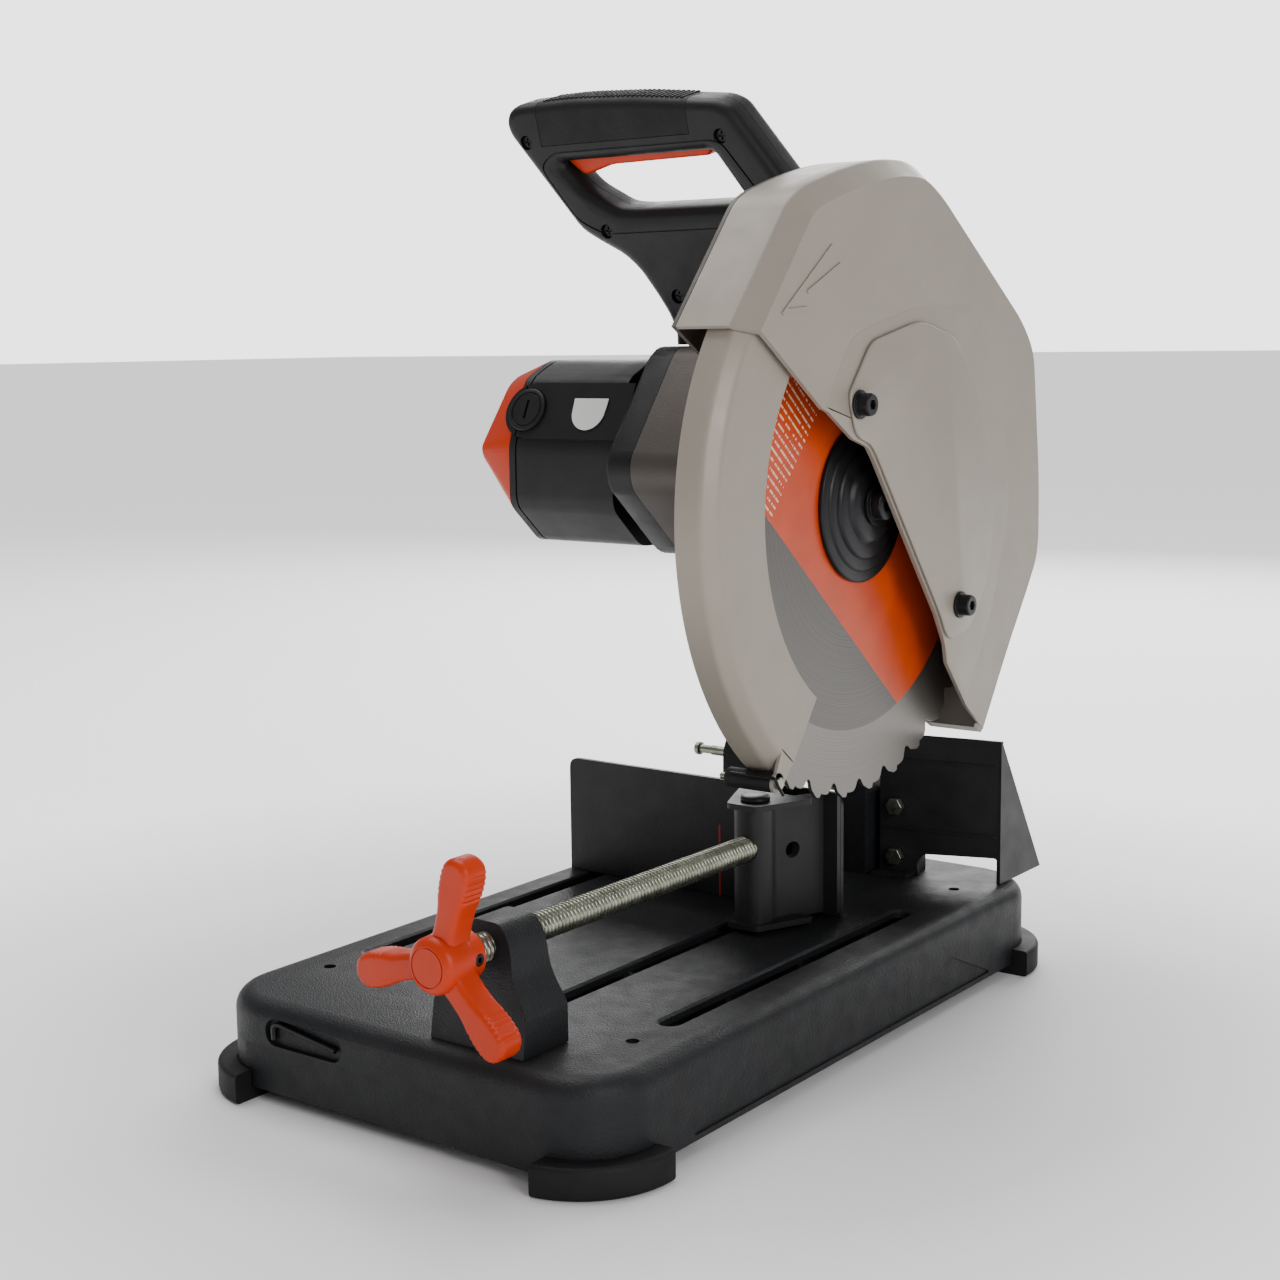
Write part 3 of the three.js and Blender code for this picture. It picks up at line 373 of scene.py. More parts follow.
def blade_paint():
    m = Nodes("blade_steel")
    axes = m.add("ShaderNodeSeparateXYZ")
    m.link(m.place, axes.inputs[0])
    y = m.math("SUBTRACT", axes.outputs["Y"], (ARBOR[1] + SHIFT_Y) / 1000)
    z = m.math("SUBTRACT", axes.outputs["Z"], ARBOR[2] / 1000)
    radius = m.math("POWER", m.math("ADD", m.math("MULTIPLY", y, y), m.math("MULTIPLY", z, z)), 0.5)
    rings = m.add("ShaderNodeCombineXYZ")
    m.link(m.math("MULTIPLY", radius, 30), rings.inputs["X"])
    lines = m.noise(60, 4, rings.outputs[0])
    steel = m.ramp(lines, (0.3, linear((74, 72, 70))), (0.7, linear((116, 113, 110))))
    band = m.math("GREATER_THAN", radius, BAND_R)
    steel = m.mix(band, steel, m.ramp(lines, (0.3, linear((98, 95, 92))), (0.7, linear((138, 134, 129)))))
    across = directed(m, y, z, INK_SIDE)
    printed = m.math("MULTIPLY", m.math("LESS_THAN", across, 0.0668), m.math("LESS_THAN", radius, BAND_R))
    ink = m.ramp(m.noise(40, 5), (0.3, linear((184, 54, 0))), (0.7, linear((200, 66, 0))))
    colour = m.mix(printed, steel, ink)
    pale = m.mix(m.math("MULTIPLY", printed, ruled_lines(m, y, z)), colour, linear((238, 214, 190)))
    m.shader.inputs["Anisotropic"].default_value = 0.5
    m.link(m.math("SUBTRACT", 0.9, m.math("MULTIPLY", printed, 0.88)), m.shader.inputs["Metallic"])
    m.link(pale, m.shader.inputs["Base Color"])
    m.link(m.span(lines, 0.28, 0.42), m.shader.inputs["Roughness"])
    m.link(m.bump(lines, 0.25, 0.0002), m.shader.inputs["Normal"])
    return m.material


def directed(m, y, z, direction):
    return m.math("ADD", m.math("MULTIPLY", y, direction[0]), m.math("MULTIPLY", z, direction[1]))


def ruled_lines(m, y, z):
    """Rows of short pale dashes printed parallel to the ink's edge: no letters."""
    across = directed(m, y, z, INK_SIDE)
    along = directed(m, y, z, INK_ALONG)
    row = m.math("LESS_THAN", m.math("FRACT", m.math("MULTIPLY", m.math("ADD", across, 1), 210)), 0.3)
    cells = m.add("ShaderNodeCombineXYZ")
    m.link(m.math("MULTIPLY", along, 500), cells.inputs["X"])
    m.link(m.math("FLOOR", m.math("MULTIPLY", m.math("ADD", across, 1), 210)), cells.inputs["Y"])
    dash = m.math("GREATER_THAN", m.noise(1.4, 0, cells.outputs[0]), 0.45)
    zone = m.math("MULTIPLY", m.math("LESS_THAN", along, -0.072), m.math("GREATER_THAN", along, -0.118))
    zone = m.math("MULTIPLY", zone, m.math("GREATER_THAN", across, -0.03))
    return m.math("MULTIPLY", m.math("MULTIPLY", row, dash), m.math("MULTIPLY", zone, 0.75))


def fence_paint():
    m = Nodes("fence_paint")
    axes = m.add("ShaderNodeSeparateXYZ")
    m.link(m.place, axes.inputs[0])
    near = m.math("ABSOLUTE", m.math("SUBTRACT", axes.outputs["X"], -0.007))
    front = m.math("MULTIPLY", m.math("LESS_THAN", axes.outputs["Y"], (74.8 + SHIFT_Y) / 1000),
                   m.math("LESS_THAN", axes.outputs["Z"], 0.104))
    mark = m.math("MULTIPLY", m.math("LESS_THAN", near, 0.0006), front)
    black = m.ramp(m.noise(30, 6), (0.3, linear((25, 25, 27))), (0.7, linear((35, 35, 37))))
    colour = m.mix(mark, black, linear((200, 30, 26)))
    normal = m.bump(m.noise(700, 3), 0.16, 0.0005, m.bump(m.noise(7, 2), 0.1, 0.002))
    return m.finish(colour, m.span(m.noise(60, 5), 0.38, 0.5), normal)


def winding():
    m = Nodes("cutout")
    stripes = m.add("ShaderNodeTexWave", bands_direction="X")
    m.link(m.place, stripes.inputs["Vector"])
    stripes.inputs["Scale"].default_value = 500
    colour = m.ramp(stripes.outputs["Fac"], (0.2, linear((70, 68, 66))), (0.8, linear((150, 146, 140))))
    return m.finish(colour, m.span(m.noise(90), 0.35, 0.5), m.bump(stripes.outputs["Fac"], 0.4, 0.0003), 0.8)


def zinc():
    m = Nodes("zinc")
    colour = m.ramp(m.noise(160, 6), (0.3, linear((128, 129, 114))), (0.7, linear((170, 171, 156))))
    return m.finish(colour, m.span(m.noise(220, 5), 0.26, 0.38), m.bump(m.noise(500, 3), 0.05, 0.0002), 0.95)


MATERIALS = {
    "cast_black": cast_black(),
    "sheet_black": fence_paint(),
    "guard_grey": coat("guard_grey", (152, 144, 133), 0.94, (0.36, 0.46), 700, 0.08, 0.15, wave=5),
    "casting_grey": coat("casting_grey", (86, 80, 75), 0.88, (0.38, 0.5), 800, 0.18, 0.35),
    "orange_plastic": coat("orange_plastic", (200, 50, 0), 0.9, (0.34, 0.44), 900, 0.14),
    "black_plastic": coat("black_plastic", (24, 24, 26), 0.8, (0.4, 0.52), 1100, 0.22),
    "rubber": coat("rubber", (19, 19, 20), 0.8, (0.55, 0.68), 700, 0.25),
    "zinc": zinc(),
    "steel": coat("steel", (168, 168, 166), 0.82, (0.22, 0.34), 900, 0.1, 0.95),
    "blackened": coat("blackened", (40, 40, 42), 0.75, (0.28, 0.4), 800, 0.12, 0.6),
    "blade_steel": blade_paint(),
    "label": coat("label", (226, 226, 222), 0.93, (0.25, 0.34), 500, 0.04),
    "cutout": winding(),
}


# ------------------------------------------------------------------ placing pieces
def shade(obj, edge):
    if edge:
        bevel = obj.modifiers.new("edge", "BEVEL")
        bevel.width = edge / 1000
        bevel.segments = 2
        bevel.limit_method = "ANGLE"
        bevel.angle_limit = math.radians(32)
        bevel.use_clamp_overlap = True
        bevel.harden_normals = False
    obj.data.polygons.foreach_set("use_smooth", [True] * len(obj.data.polygons))
    obj.data.set_sharp_from_angle(angle=math.radians(38))


def piece(obj, node, edge=0.5, head=False):
    """Scales a drawn solid to metres, sets it in the row frame and lets it stand for the CAD node."""
    origin = Vector(ARBOR) if head else Vector((0, 0, 0))
    to_row = Matrix.Scale(0.001, 4) @ Matrix.Translation(origin + Vector((0, SHIFT_Y, 0)))
    obj.data.transform(to_row)
    obj.name = node + "_look"
    obj.data.name = obj.name
    weld(obj)
    shade(obj, edge)
    obj.data.materials.clear()
    obj.data.materials.append(MATERIALS[SLOT_OF[node]])
    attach(obj, BODY_OF[node])
    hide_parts(node)
    return obj


def weld(obj):
    bm = bmesh.new()
    bm.from_mesh(obj.data)
    bmesh.ops.remove_doubles(bm, verts=bm.verts, dist=2e-6)
    bmesh.ops.dissolve_degenerate(bm, edges=bm.edges, dist=2e-6)
    bm.to_mesh(obj.data)
    bm.free()


def on_head(obj, node, edge=0.5):
    return piece(obj, node, edge, True)


# ------------------------------------------------------------------ base, feet and stored key
def base():
    steps = [(11 * (1 - math.cos(t)), 57.2 - 11 * (1 - math.sin(t))) for t in
             (math.radians(90 * k / 6) for k in range(7))]
    ring = lambda d, z: (z, round_rect(140 - d, 240 - d, 42 - d, n=14))
    body = loft("z", [ring(0, 7), ring(0, 8)] + [ring(d, z) for d, z in steps])
    inner = loft("z", [(6, round_rect(135, 235, 37)), (44, round_rect(134, 234, 36)),
                       (52.2, round_rect(130, 230, 32))])
    tools = [inner, prism("y", round_rect(29, 7.5, 7.4, -62, 42), -242, -236.4, 0.4)]
    tools += [prism("y", round_rect(78.5, 13.5, 5, -31.5, 19.5), -242, -238.8)]
    side = [(-165, 10), (-110, 34), (110, 34), (165, 10)]
    tools += [prism("x", filleted(side, 6), 138.8, 142), prism("x", filleted(side, 6), -142, -138.8)]
    for x, y0 in ((107.5, -144), (-107.5, -144), (36.5, -186)):
        mid, half = (y0 + 112) / 2, (112 - y0) / 2
        tools.append(prism("z", round_rect(6, half, 5.99, x, mid), 20, 60))
        tools.append(loft("z", [(55.9, round_rect(6, half, 5.99, x, mid)),
                                (57.6, round_rect(7.9, half + 1.9, 7.89, x, mid))]))
    tools += [rod("z", 3.6, 40, 60, x, y) for x in (-109, 109) for y in (-172.7, 172.7)]
    ribs = [block(-134.5, 134.5, y - 2, y + 2, 24, 53) for y in (-150, -75, 0, 75, 150)]
    ribs += [block(x - 2, x + 2, -234.5, 234.5, 30, 53) for x in (-75, 75)]
    cut(body, tools.pop(0))
    join(body, *ribs)
    piece(cut(body, *tools), "base", 0.5)


def foot(node, sx, sy):
    steps = [(2.5 * (1 - math.cos(t)), 2.5 * (1 - math.sin(t))) for t in
             (math.radians(90 * k / 4) for k in range(5))]
    ring = lambda d, z: (z, round_rect(151 - d, 252 - d, 54 - d, n=16))
    low = [ring(d, z) for d, z in reversed(steps)]
    body = loft("z", low + [(17 - z, pts) for z, pts in reversed(low)])
    skirt = prism("z", round_rect(140.3, 240.3, 42.3, n=16), 6.7, 30)
    cut(body, skirt, prism("z", round_rect(110, 206, 20), -1, 30))
    keep(body, block(104, 160, 194, 260, -1, 20))
    body.data.transform(Matrix.Diagonal((sx, sy, 1, 1)))
    if sx * sy < 0:
        body.data.flip_normals()
    piece(body, node, 0.9)


def hex_key():
    path = [(-86, -238.4, 37.5), (-86, -238.4, 44), (-82.5, -238.4, 46.3), (-76, -238.4, 45.6),
            (-39, -238.4, 40.5)]
    piece(tube(path, 1.6, 6, 6), "hex_key", 0)


# ------------------------------------------------------------------ vise
def vise_block():
    half = [(31, 57.5), (31, 78), (29, 81.5), (25, 87.5), (21, 94), (19.2, 100), (18, 108), (16, 114.5),
            (10, 122.5)]
    outline = half + [(-u, v) for u, v in reversed(half)]
    body = prism("y", moved(filleted(outline, 5, 4, (0, 17)), VISE[0], 0), -228, -192)
    keep(body, prism("x", [(-228, 57.5), (-192, 57.5), (-192, 124), (-219, 124), (-221, 104)], 0, 110))
    piece(cut(body, rod("y", 8.1, -235, -185, *VISE)), "vise_block", 1.4)


def thread(radius, depth, y0, y1, sides=40, rows=6):
    count = int((y1 - y0) / PITCH * rows)
    rings = []
    for k in range(count + 1):
        y = y0 + (y1 - y0) * k / count
        ring = []
        for i in range(sides):
            phase = ((y - y0) / PITCH - i / sides) % 1
            lift = min(1, max(0, 1.6 - abs(phase - 0.5) * 5.2))
            r = radius - depth * (1 - lift)
            r -= max(0, 1.6 - min(y - y0, y1 - y)) * 0.8
            u, v = polar(r, -360 * i / sides)
            ring.append((VISE[0] + u, y, VISE[1] + v))
        rings.append(ring)
    return solid("thread", rings)


def lobe_ring(angle, d, y, rib):
    side = [(5, 8.5), (17, 6.6), (29, 7), (37, 9), (44, 9.6), (50.5, 9.2), (55, 6.4), (57, 2.5)]
    outline = side + [(u, -v) for u, v in reversed(side)]
    smooth = filleted(outline, 5, 10, (0, 15))
    ring = []
    for u, v in inset(smooth, d):
        if rib and 36 < u < 52:
            v -= math.copysign(rib * (0.5 + 0.5 * math.cos(u * 2 * math.pi / 3.1)), v)
        c, s = math.cos(math.radians(angle)), math.sin(math.radians(angle))
        ring.append((VISE[0] + u * c - v * s, y, VISE[1] + u * s + v * c))
    return ring


def vise_handle():
    hub = turned("y", [(-262.5, 10.8), (-262, 11.6), (-261, 13.2), (-258.5, 14.8), (-245, 15.5), (-243.6, 15),
                       (-243, 13.5), (-233, 12.8), (-232, 11.8)], *VISE)
    steps = [(3.6 * (1 - math.cos(t)), 3.6 * (1 - math.sin(t)), t) for t in
             (math.radians(90 * k / 6) for k in range(7))]
    for angle in (74, 194, 314):
        low = [lobe_ring(angle, d, -257 + h, 0.7 * math.cos(t)) for d, h, t in reversed(steps)]
        high = [lobe_ring(angle, d, -240 - h, 0.7 * math.cos(t)) for d, h, t in steps]
        join(hub, solid("lobe", low + high))
    ring = cut(rod("y", 10.4, -264, -261.9, *VISE), rod("y", 9.7, -266, -260, *VISE))
    screw_hole = rod("x", 3.3, VISE[0] + 8, VISE[0] + 14, -238, VISE[1])
    cut(hub, rod("y", 8.3, -253.4, -230, *VISE), screw_hole, ring)
    piece(hub, "vise_handle", 0.35)


def grub_screw():
    body = rod("x", 3, VISE[0] + 8.6, VISE[0] + 13.2, -238, VISE[1], 32, 0.4)
    socket = prism("x", circle(1.6, -238, VISE[1], 6), VISE[0] + 10.6, VISE[0] + 15)
    piece(cut(body, socket), "handle_grub_screw", 0.1)


def jaw():
    x = VISE[0]
    column = [(-9.5, 36), (-11.5, 28), (-10, 19), (-5.5, 15.4), (0, 14.2), (5.5, 15.4), (10, 19), (11.5, 28),
              (9.5, 36)]
    outline = filleted(column + [(22, 71.4), (-22, 71.4)], 5, 6, (9, 10))
    walls = prism("z", moved(outline, x, 0), 61, 135.8)
    cut(walls, prism("z", moved([(-5, 38), (5, 38), (17, 70.9), (-17, 70.9)], x, 0), 50, 150))
    plate = prism("y", round_rect(31.5, 38.4, 2, x, 98.4), 70.4, 74.1)
    flange = moved(filleted([(-10.5, 12.6), (10.5, 12.6), (27, 51), (-27, 51)], 3), x, 0)
    join(walls, plate, prism("z", flange, 60, 63.5), prism("z", flange, 133.3, 136.8))
    tools = [block(x + d - 2.4, x + d + 2.4, 69, 75, z0, z1)
             for d in (-29.3, 14) for z0, z1 in ((127.8, 150), (50, 69))]
    tools += [rod("z", 5.3, 50, 150, x, 28), rod("y", 8.3, 10, 20.4, x, VISE[1])]
    tools.append(rod("x", 5, x - 40, x + 40, 48, 104))
    piece(cut(walls, *tools), "jaw_bracket", 0.6)
    steps = [(59, 4.4), (60, 5), (137.1, 5), (137.11, 9), (138.6, 9), (139.6, 8.5), (140.4, 6.5)]
    piece(turned("z", steps, x, 28), "jaw_pin", 0.3)


# ------------------------------------------------------------------ fence, deflector, pivot bracket
def hex_bolt(node, x, y, z0, z1, z, r=8):
    body = join(rod("z", 4, z0, z1, x, y), rod("z", r + 2, z, z + 1.6, x, y, 64))
    crown = turned("z", [(z + 1.4, r * 0.98), (z + 5.6, r * 1.02), (z + 7.5, r * 0.84)], x, y, 64)
    head = keep(prism("z", circle(r, x, y, 6), z + 1.5, z + 7.5), crown)
    piece(join(body, head), node, 0.3)


def fence():
    front = filleted([(-129, 57.5), (83, 57.5), (83, 134), (-129, 134)], 7, 8, (0, 1))
    body = prism("y", front, 74.5, 78)
    flange = [(-129, 77), (60, 77), (60, 112), (-123, 112), (-129, 106)]
    ribs = [prism("x", [(77, 58.5), (106, 58.5), (77, 112.5)], x - 1.7, x + 1.7) for x in (-60, -10)]
    join(body, prism("z", flange, 57.5, 61), *ribs)
    piece(cut(body, *[rod("z", 4.4, 50, 66, x, 98) for x in (-107.5, 36.5)]), "fence", 0.7)


def deflector():
    slope = DEFLECTOR_SLOPE
    body = prism("z", [(48, 183), (129, 198), (129, 200.5), (48, 185.5)], 57.5, 152)
    cut(body, prism("y", filleted([(76, 50), (127, 50), (127, 74.5), (78, 72.5), (73, 66)], 3), 150, 230))
    wing = prism("x", [(197.8, 57.5), (257, 57.5), (199, 152), (197.8, 152)], 126.5, 129)
    lip = prism("z", [(48, 171), (72, 171 + 24 * slope), (72, 184 + 24 * slope), (48, 184)], 57.5, 60)
    ridge = [prism("z", [(50, 181.9 + 2 * slope), (126, 181.9 + 78 * slope), (126, 185.4 + 78 * slope),
                         (50, 185.4 + 2 * slope)], z, z + 1.2) for z in (88, 134.5)]
    join(body, wing, lip, *ridge)
    piece(cut(body, *[rod("y", 3.4, 150, 230, 60, z) for z in (70, 104)]), "chip_deflector", 0.5)


def deflector_bolt(node, z):
    y = 183 + 12 * DEFLECTOR_SLOPE
    head = prism("y", circle(6, 60, z, 6), y - 6.2, y - 1, 0.5)
    piece(join(head, rod("y", 3, y - 2, y + 13, 60, z)), node, 0.25)


def pivot_bracket():
    cheek = [(172, 57.5), (226, 57.5), (226, 128), (221, 139), (212, 146), (198, 146), (184, 142), (176, 136),
             (172, 127)]
    shape = filleted(cheek, 5, 5, (0, 1))
    body = join(block(-69, 41, 173, 225, 57.5, 65), prism("x", shape, -71, -48), prism("x", shape, 20, 43))
    join(body, prism("z", round_rect(55, 3, 2.9, -14, 176), 57.5, 94), block(39, 71, 188.6, 204, 57.5, 112))
    clear = lambda x: 185.8 + (x - 48) * DEFLECTOR_SLOPE
    tools = [prism("z", [(43.3, 170), (90, 170), (90, clear(90)), (43.3, clear(43.3))], 50, 130)]
    tools += [rod("x", 8.1, -80, 50, *PIVOT), rod("x", 3.8, -73, -46, *LOCK)]
    tools += [rod("y", 3.3, 180, 199, 60, z) for z in (70, 104)]
    tools += [rod("z", 4.4, 50, 70, x, 216) for x in (-30, 2)]
    piece(cut(body, *tools), "pivot_bracket", 1.2)


def pivot_hardware():
    x = -71
    shaft = [(x - 3.5, 7), (x - 3, 8), (44, 8), (44.01, 11), (46.6, 11), (47.6, 9.5)]
    piece(turned("x", shaft, *PIVOT), "pivot_shaft", 0.25)
    pin = [(x - 31, 4.0), (x - 30.4, 4.6), (x - 27.5, 4.6), (x - 27, 3), (x - 18, 3), (x - 17.6, 3.5),
           (x + 21, 3.5), (x + 22.4, 2.2)]
    piece(turned("x", pin, *LOCK), "lock_pin", 0.2)
    coil = []
    for i in range(127):
        t = i / 126
        u, v = polar(16.5, 250 + 360 * 5.25 * t)
        coil.append((-36 + 22 * t, PIVOT[0] + u, PIVOT[1] + v))
    first, last = coil[0], coil[-1]
    path = [(first[0], first[1] + 14, first[2] - 22)] + coil + [(last[0], last[1] + 14, last[2] + 12)]
    piece(tube(path, 1.6, 3, 14), "return_spring", 0)


# ------------------------------------------------------------------ blade and its hardware
def blade():
    tooth = [(0, 168.3), (0.05, 168.6), (0.1, 169.8), (0.14, 171.6), (0.2, 173.9), (0.3, 175.6),
             (0.4, BLADE_R), (0.52, BLADE_R), (0.545, 176.2), (0.57, 174.8), (0.66, 175.3), (0.8, 175),
             (0.88, 173), (0.93, 170.2), (0.97, 168.8)]
    pts = [polar(r, (i + f) * 360 / TEETH) for i in range(TEETH) for f, r in tooth]
    on_head(cut(prism("x", pts, -1.2, 1.2), rod("x", 8.5, -3, 3)), "blade", 0.18)


def flanges():
    inner = turned("x", [(-11.8, 20), (-10, 34), (-6.5, 39.2), (-5.5, 40), (-1.6, 40)])
    on_head(cut(inner, rod("x", 8.5, -13, 0)), "inner_flange", 0.4)
    steps = [(1.6, 47), (2, 47.5), (3.4, 47.5), (4.2, 47), (4.6, 46), (4.9, 41), (6.1, 40), (6.4, 39),
             (6.6, 33.6), (8.3, 32.6), (8.7, 31.6), (8.9, 24.6), (10.7, 23), (11.4, 22), (12, 20.5)]
    outer = turned("x", steps, n=128)
    on_head(cut(outer, rod("x", 8.5, 0, 14)), "outer_flange", 0)
    head = turned("x", [(12.4, 13), (14, 13), (14.01, 9.6), (19.6, 9.6), (20.2, 9.3), (20.6, 8.6)])
    on_head(cut(head, prism("x", circle(4.6, n=6), 16.4, 22)), "arbor_bolt", 0.2)


# ------------------------------------------------------------------ lower guard and roller
def lower_guard():
    shell = [(-4, 182), (12, 182), (19, 174), (19, 130), (17, 130), (17, 173.2), (11.2, 180), (-4, 180)]
    skirt = sector(filleted(shell, 2.4, 4, (0, 3, 4, 7)), 110, 233.7, 150)
    lip = sector([(-15, 182), (-3.5, 182), (-3.5, 180), (-15, 180)], 112, 140, 40)
    spoke = sector([(-15, 182), (-12.6, 182), (-12.6, 36), (-15, 36)], 112, 140, 40)
    hub = cut(rod("x", 42, -21.5, -12.6, n=96), rod("x", 29.9, -23, -10, n=96))
    ry, rz = polar(*ROLLER)
    strap = prism("x", [polar(171, 228.5), polar(187.3, 230), polar(187.3, 233), polar(171, 233.4)], 17, 19)
    join(skirt, lip, spoke, hub, strap, rod("x", 5.8, 17, 19, ry, rz))
    on_head(cut(skirt, rod("x", 2.3, 14, 22, ry, rz)), "lower_guard", 0.35)


def roller():
    y, z = polar(*ROLLER)
    steps = [(-14.5, 4.4), (-14.1, 5.2), (-13.3, 5.7), (15.3, 5.7), (16.1, 5.2), (16.5, 4.4)]
    on_head(cut(turned("x", steps, y, z), rod("x", 2.35, -20, 20, y, z)), "guard_roller", 0.2)
    axle = [(-19.5, 1.6), (-19, 2), (19.3, 2), (19.31, 3.6), (20.6, 3.6), (21, 3.2)]
    on_head(turned("x", axle, y, z, 48), "roller_axle", 0.1)
    d = lambda x, k: (x, y - 6.2 * k, z + 3.9 * k)
    clip = [d(-9, 1), d(4, 1.02), d(15, 1.02), d(20.6, 1), (22.4, y - 4.6, z - 1), (22.4, y, z - 6.2)]
    on_head(tube(clip, 0.9, 8, 12), "roller_clip", 0)


# ------------------------------------------------------------------ upper guard
FACE = [(-142.2, 102.1), (-90.2, 164.8), (-79.7, 170), (-47.3, 179.8), (-13.3, 187.2), (7.2, 190),
        (34.6, 190.5), (56.7, 180), (100.1, 150.6), (165, 106.6), (182.4, 87.3), (193.1, 3.1),
        (193.7, -35.8), (190.8, -50.6), (174.8, -73.4), (151.1, -104.3), (116.7, -154)]
LOWER = [(93, -134.7), (67, -103.9), (64.2, -91.2), (53, -72.2), (-24.7, 28.7), (-31.1, 35.5), (-47.9, 40.8),
         (-74.2, 56.9), (-81, 59.2)]
CUT_ENDS = (0, 16) + tuple(range(17, 26))


def guard_outline(d, drop=0, stretch=False):
    grown = inset(list(reversed(FACE + LOWER)), -d)[::-1][:17]
    k = d / 10.5
    grown[0] = (-142.2 - 11.9 * k, 102.1 + 2.9 * k)
    grown[16] = (116.7 + 21.3 * k, -154 - 7 * k)
    if stretch:
        grown[0] = (grown[0][0] - 19.1, grown[0][1] - 23.1)
        grown[16] = (grown[16][0] - 22.8, grown[16][1] - 32.9)
    return filleted(grown + [(y - drop, z - drop) for y, z in LOWER], 22, 6, CUT_ENDS)


def upper_guard():
    edge = [(12, 10.5), (13.2, 10.0), (14.2, 9.2), (23, 1.4), (24, 0.7), (25, 0)]
    wall = [(x, guard_outline(10.5)) for x in (-21.9, 0)]
    body = loft("x", wall + [(x, guard_outline(d)) for x, d in edge])
    inside = [(-27, 8), (11.4, 8), (22.5, -2.5)]
    cut(body, loft("x", [(x, guard_outline(d, 70, True)) for x, d in inside]))
    crest = [(-77.6, 58.6), (-52.4, 96), (-36, 103), (20.3, 114.8), (96, 117), (136, 66), (150, -8),
             (128, -74), (92, -132), (67, -103), (64, -91), (53, -72), (-24.7, 28.7), (-31.1, 35.5),
             (-47.9, 40.8), (-74, 57)]
    crest = ccw(filleted(crest, 9, 4))
    join(body, loft("x", [(24, crest), (25.05, crest), (25.25, inset(crest, 2))]))
    embossed = [((-121.8, 110.9), (-70.8, 148.5)), ((-96.8, 122.7), (-62.3, 138.4)),
                ((-118.9, 112.5), (-96.8, 114.1))]
    join(body, *[ridge(Vector(a), Vector(b), 24.5, 25.7) for a, b in embossed])
    cut(body, *[rod("x", 3.4, 15, 30, y, z) for y, z in COVER_BOLTS])
    on_head(body, "upper_guard", 0.4)


def ridge(a, b, x0, x1):
    side = Vector((a.y - b.y, b.x - a.x)).normalized() * 0.9
    return prism("x", [tuple(p) for p in (a - side, b - side, b + side, a + side)], x0, x1)


def side_plate():
    body = join(prism("x", guard_outline(10.5), -25, -22.2), rod("x", 50, -25, -22.2, n=96))
    on_head(cut(body, rod("x", 30.1, -30, -20, n=96)), "guard_side_plate", 0.5)


def arbor_cover():
    outline = [(26.6, 107.6), (-26.9, 96.5), (-33.2, 92.2), (-53.7, 67.6), (-53.6, 61.8), (-46.9, 42),
               (-30.4, 36.9), (-23.7, 30.1), (54.2, -71.2), (65, -90.2), (96, -84), (118, -52),
               (124, -10), (104, 62), (70, 98)]
    body = prism("x", filleted(outline, 12, 6), 25.3, 27.4, 0.9)
    on_head(cut(body, *[rod("x", 3.4, 20, 32, y, z) for y, z in COVER_BOLTS]), "arbor_cover", 0.25)


def cover_bolt(node, y, z):
    steps = [(27.7, 8.4), (28.8, 8.4), (29.2, 8), (29.21, 6.6), (35.2, 6.6), (36, 6.3), (36.4, 5.8)]
    head = turned("x", steps, y, z, 64)
    cut(head, prism("x", circle(3.2, y, z, 6), 32, 38))
    on_head(join(head, rod("x", 3, 18, 28, y, z)), node, 0.2)


# ------------------------------------------------------------------ gear housing and arm
COLLAR = [(-87, -2), (-38, 64), (38, 64), (87, -2), (85, -18), (35, -62), (-35, -62), (-85, -18)]
BODY = [(-64, 5), (-46, 45), (-22, 56), (22, 56), (46, 45), (64, 5), (64, -33), (36, -58), (-36, -58),
        (-64, -33)]
RIM = [(-63, 2), (-34, 41), (-24, 47), (24, 47), (34, 41), (63, 2), (60, -6), (20, -46), (-20, -46),
       (-60, -6)]


def on_motor(points, radius=0, n=4):
    pts = filleted(ccw(points), radius, n) if radius else ccw(points)
    return moved(pts, *MOTOR)


def head_casting():
    x0 = -ARBOR[0]
    rings = [(-93.7, COLLAR), (-60, COLLAR), (-29, scaled(COLLAR, 0.935)), (-26, scaled(COLLAR, 0.90))]
    body = loft("x", [(x, on_motor(pts, 9)) for x, pts in rings])
    arm = [(-28, -26), (4, -74), (101, -200), (112, -208), (125, -210.5), (138, -205), (146, -193),
           (146, -178), (76, 2), (66, 16)]
    join(body, prism("x", filleted(arm, 10, 4), x0 - 3, x0 + 19, 3))
    hollow = [(-95, inset(COLLAR, 5)), (-60, inset(COLLAR, 5)), (-33, inset(scaled(COLLAR, 0.9), 7))]
    cut(body, loft("x", [(x, on_motor(pts, 8)) for x, pts in hollow]))
    py, pz = PIVOT[0] - ARBOR[1], PIVOT[1] - ARBOR[2]
    join(body, rod("x", 29.5, -40, -12.4, n=96), rod("x", 12, x0 - 47.5, x0 + 19.5, py, pz, 64),
         rod("x", 22, x0 - 12, x0 + 19.5, py, pz, 64), rod("x", 27, x0 - 47.5, x0 - 40, py, pz, 64))
    tools = [rod("x", 10.9, -42, -10), rod("x", 8.15, x0 - 60, x0 + 30, py, pz)]
    for deg in (0, -27):
        a = math.radians(deg)
        y, z = -20 * math.cos(a) + 1.5 * math.sin(a), -20 * math.sin(a) - 1.5 * math.cos(a)
        tools.append(rod("x", 3.8, x0 - 49, x0 - 38, py + y, pz + z))
    for y0, z0, y1, z1 in ((20, -74, 96, -178), (56, -36, 122, -170)):
        tools.append(arm_groove(y0, z0, y1, z1, x0 - 4))
    on_head(cut(body, *tools), "head_casting", 0.9)


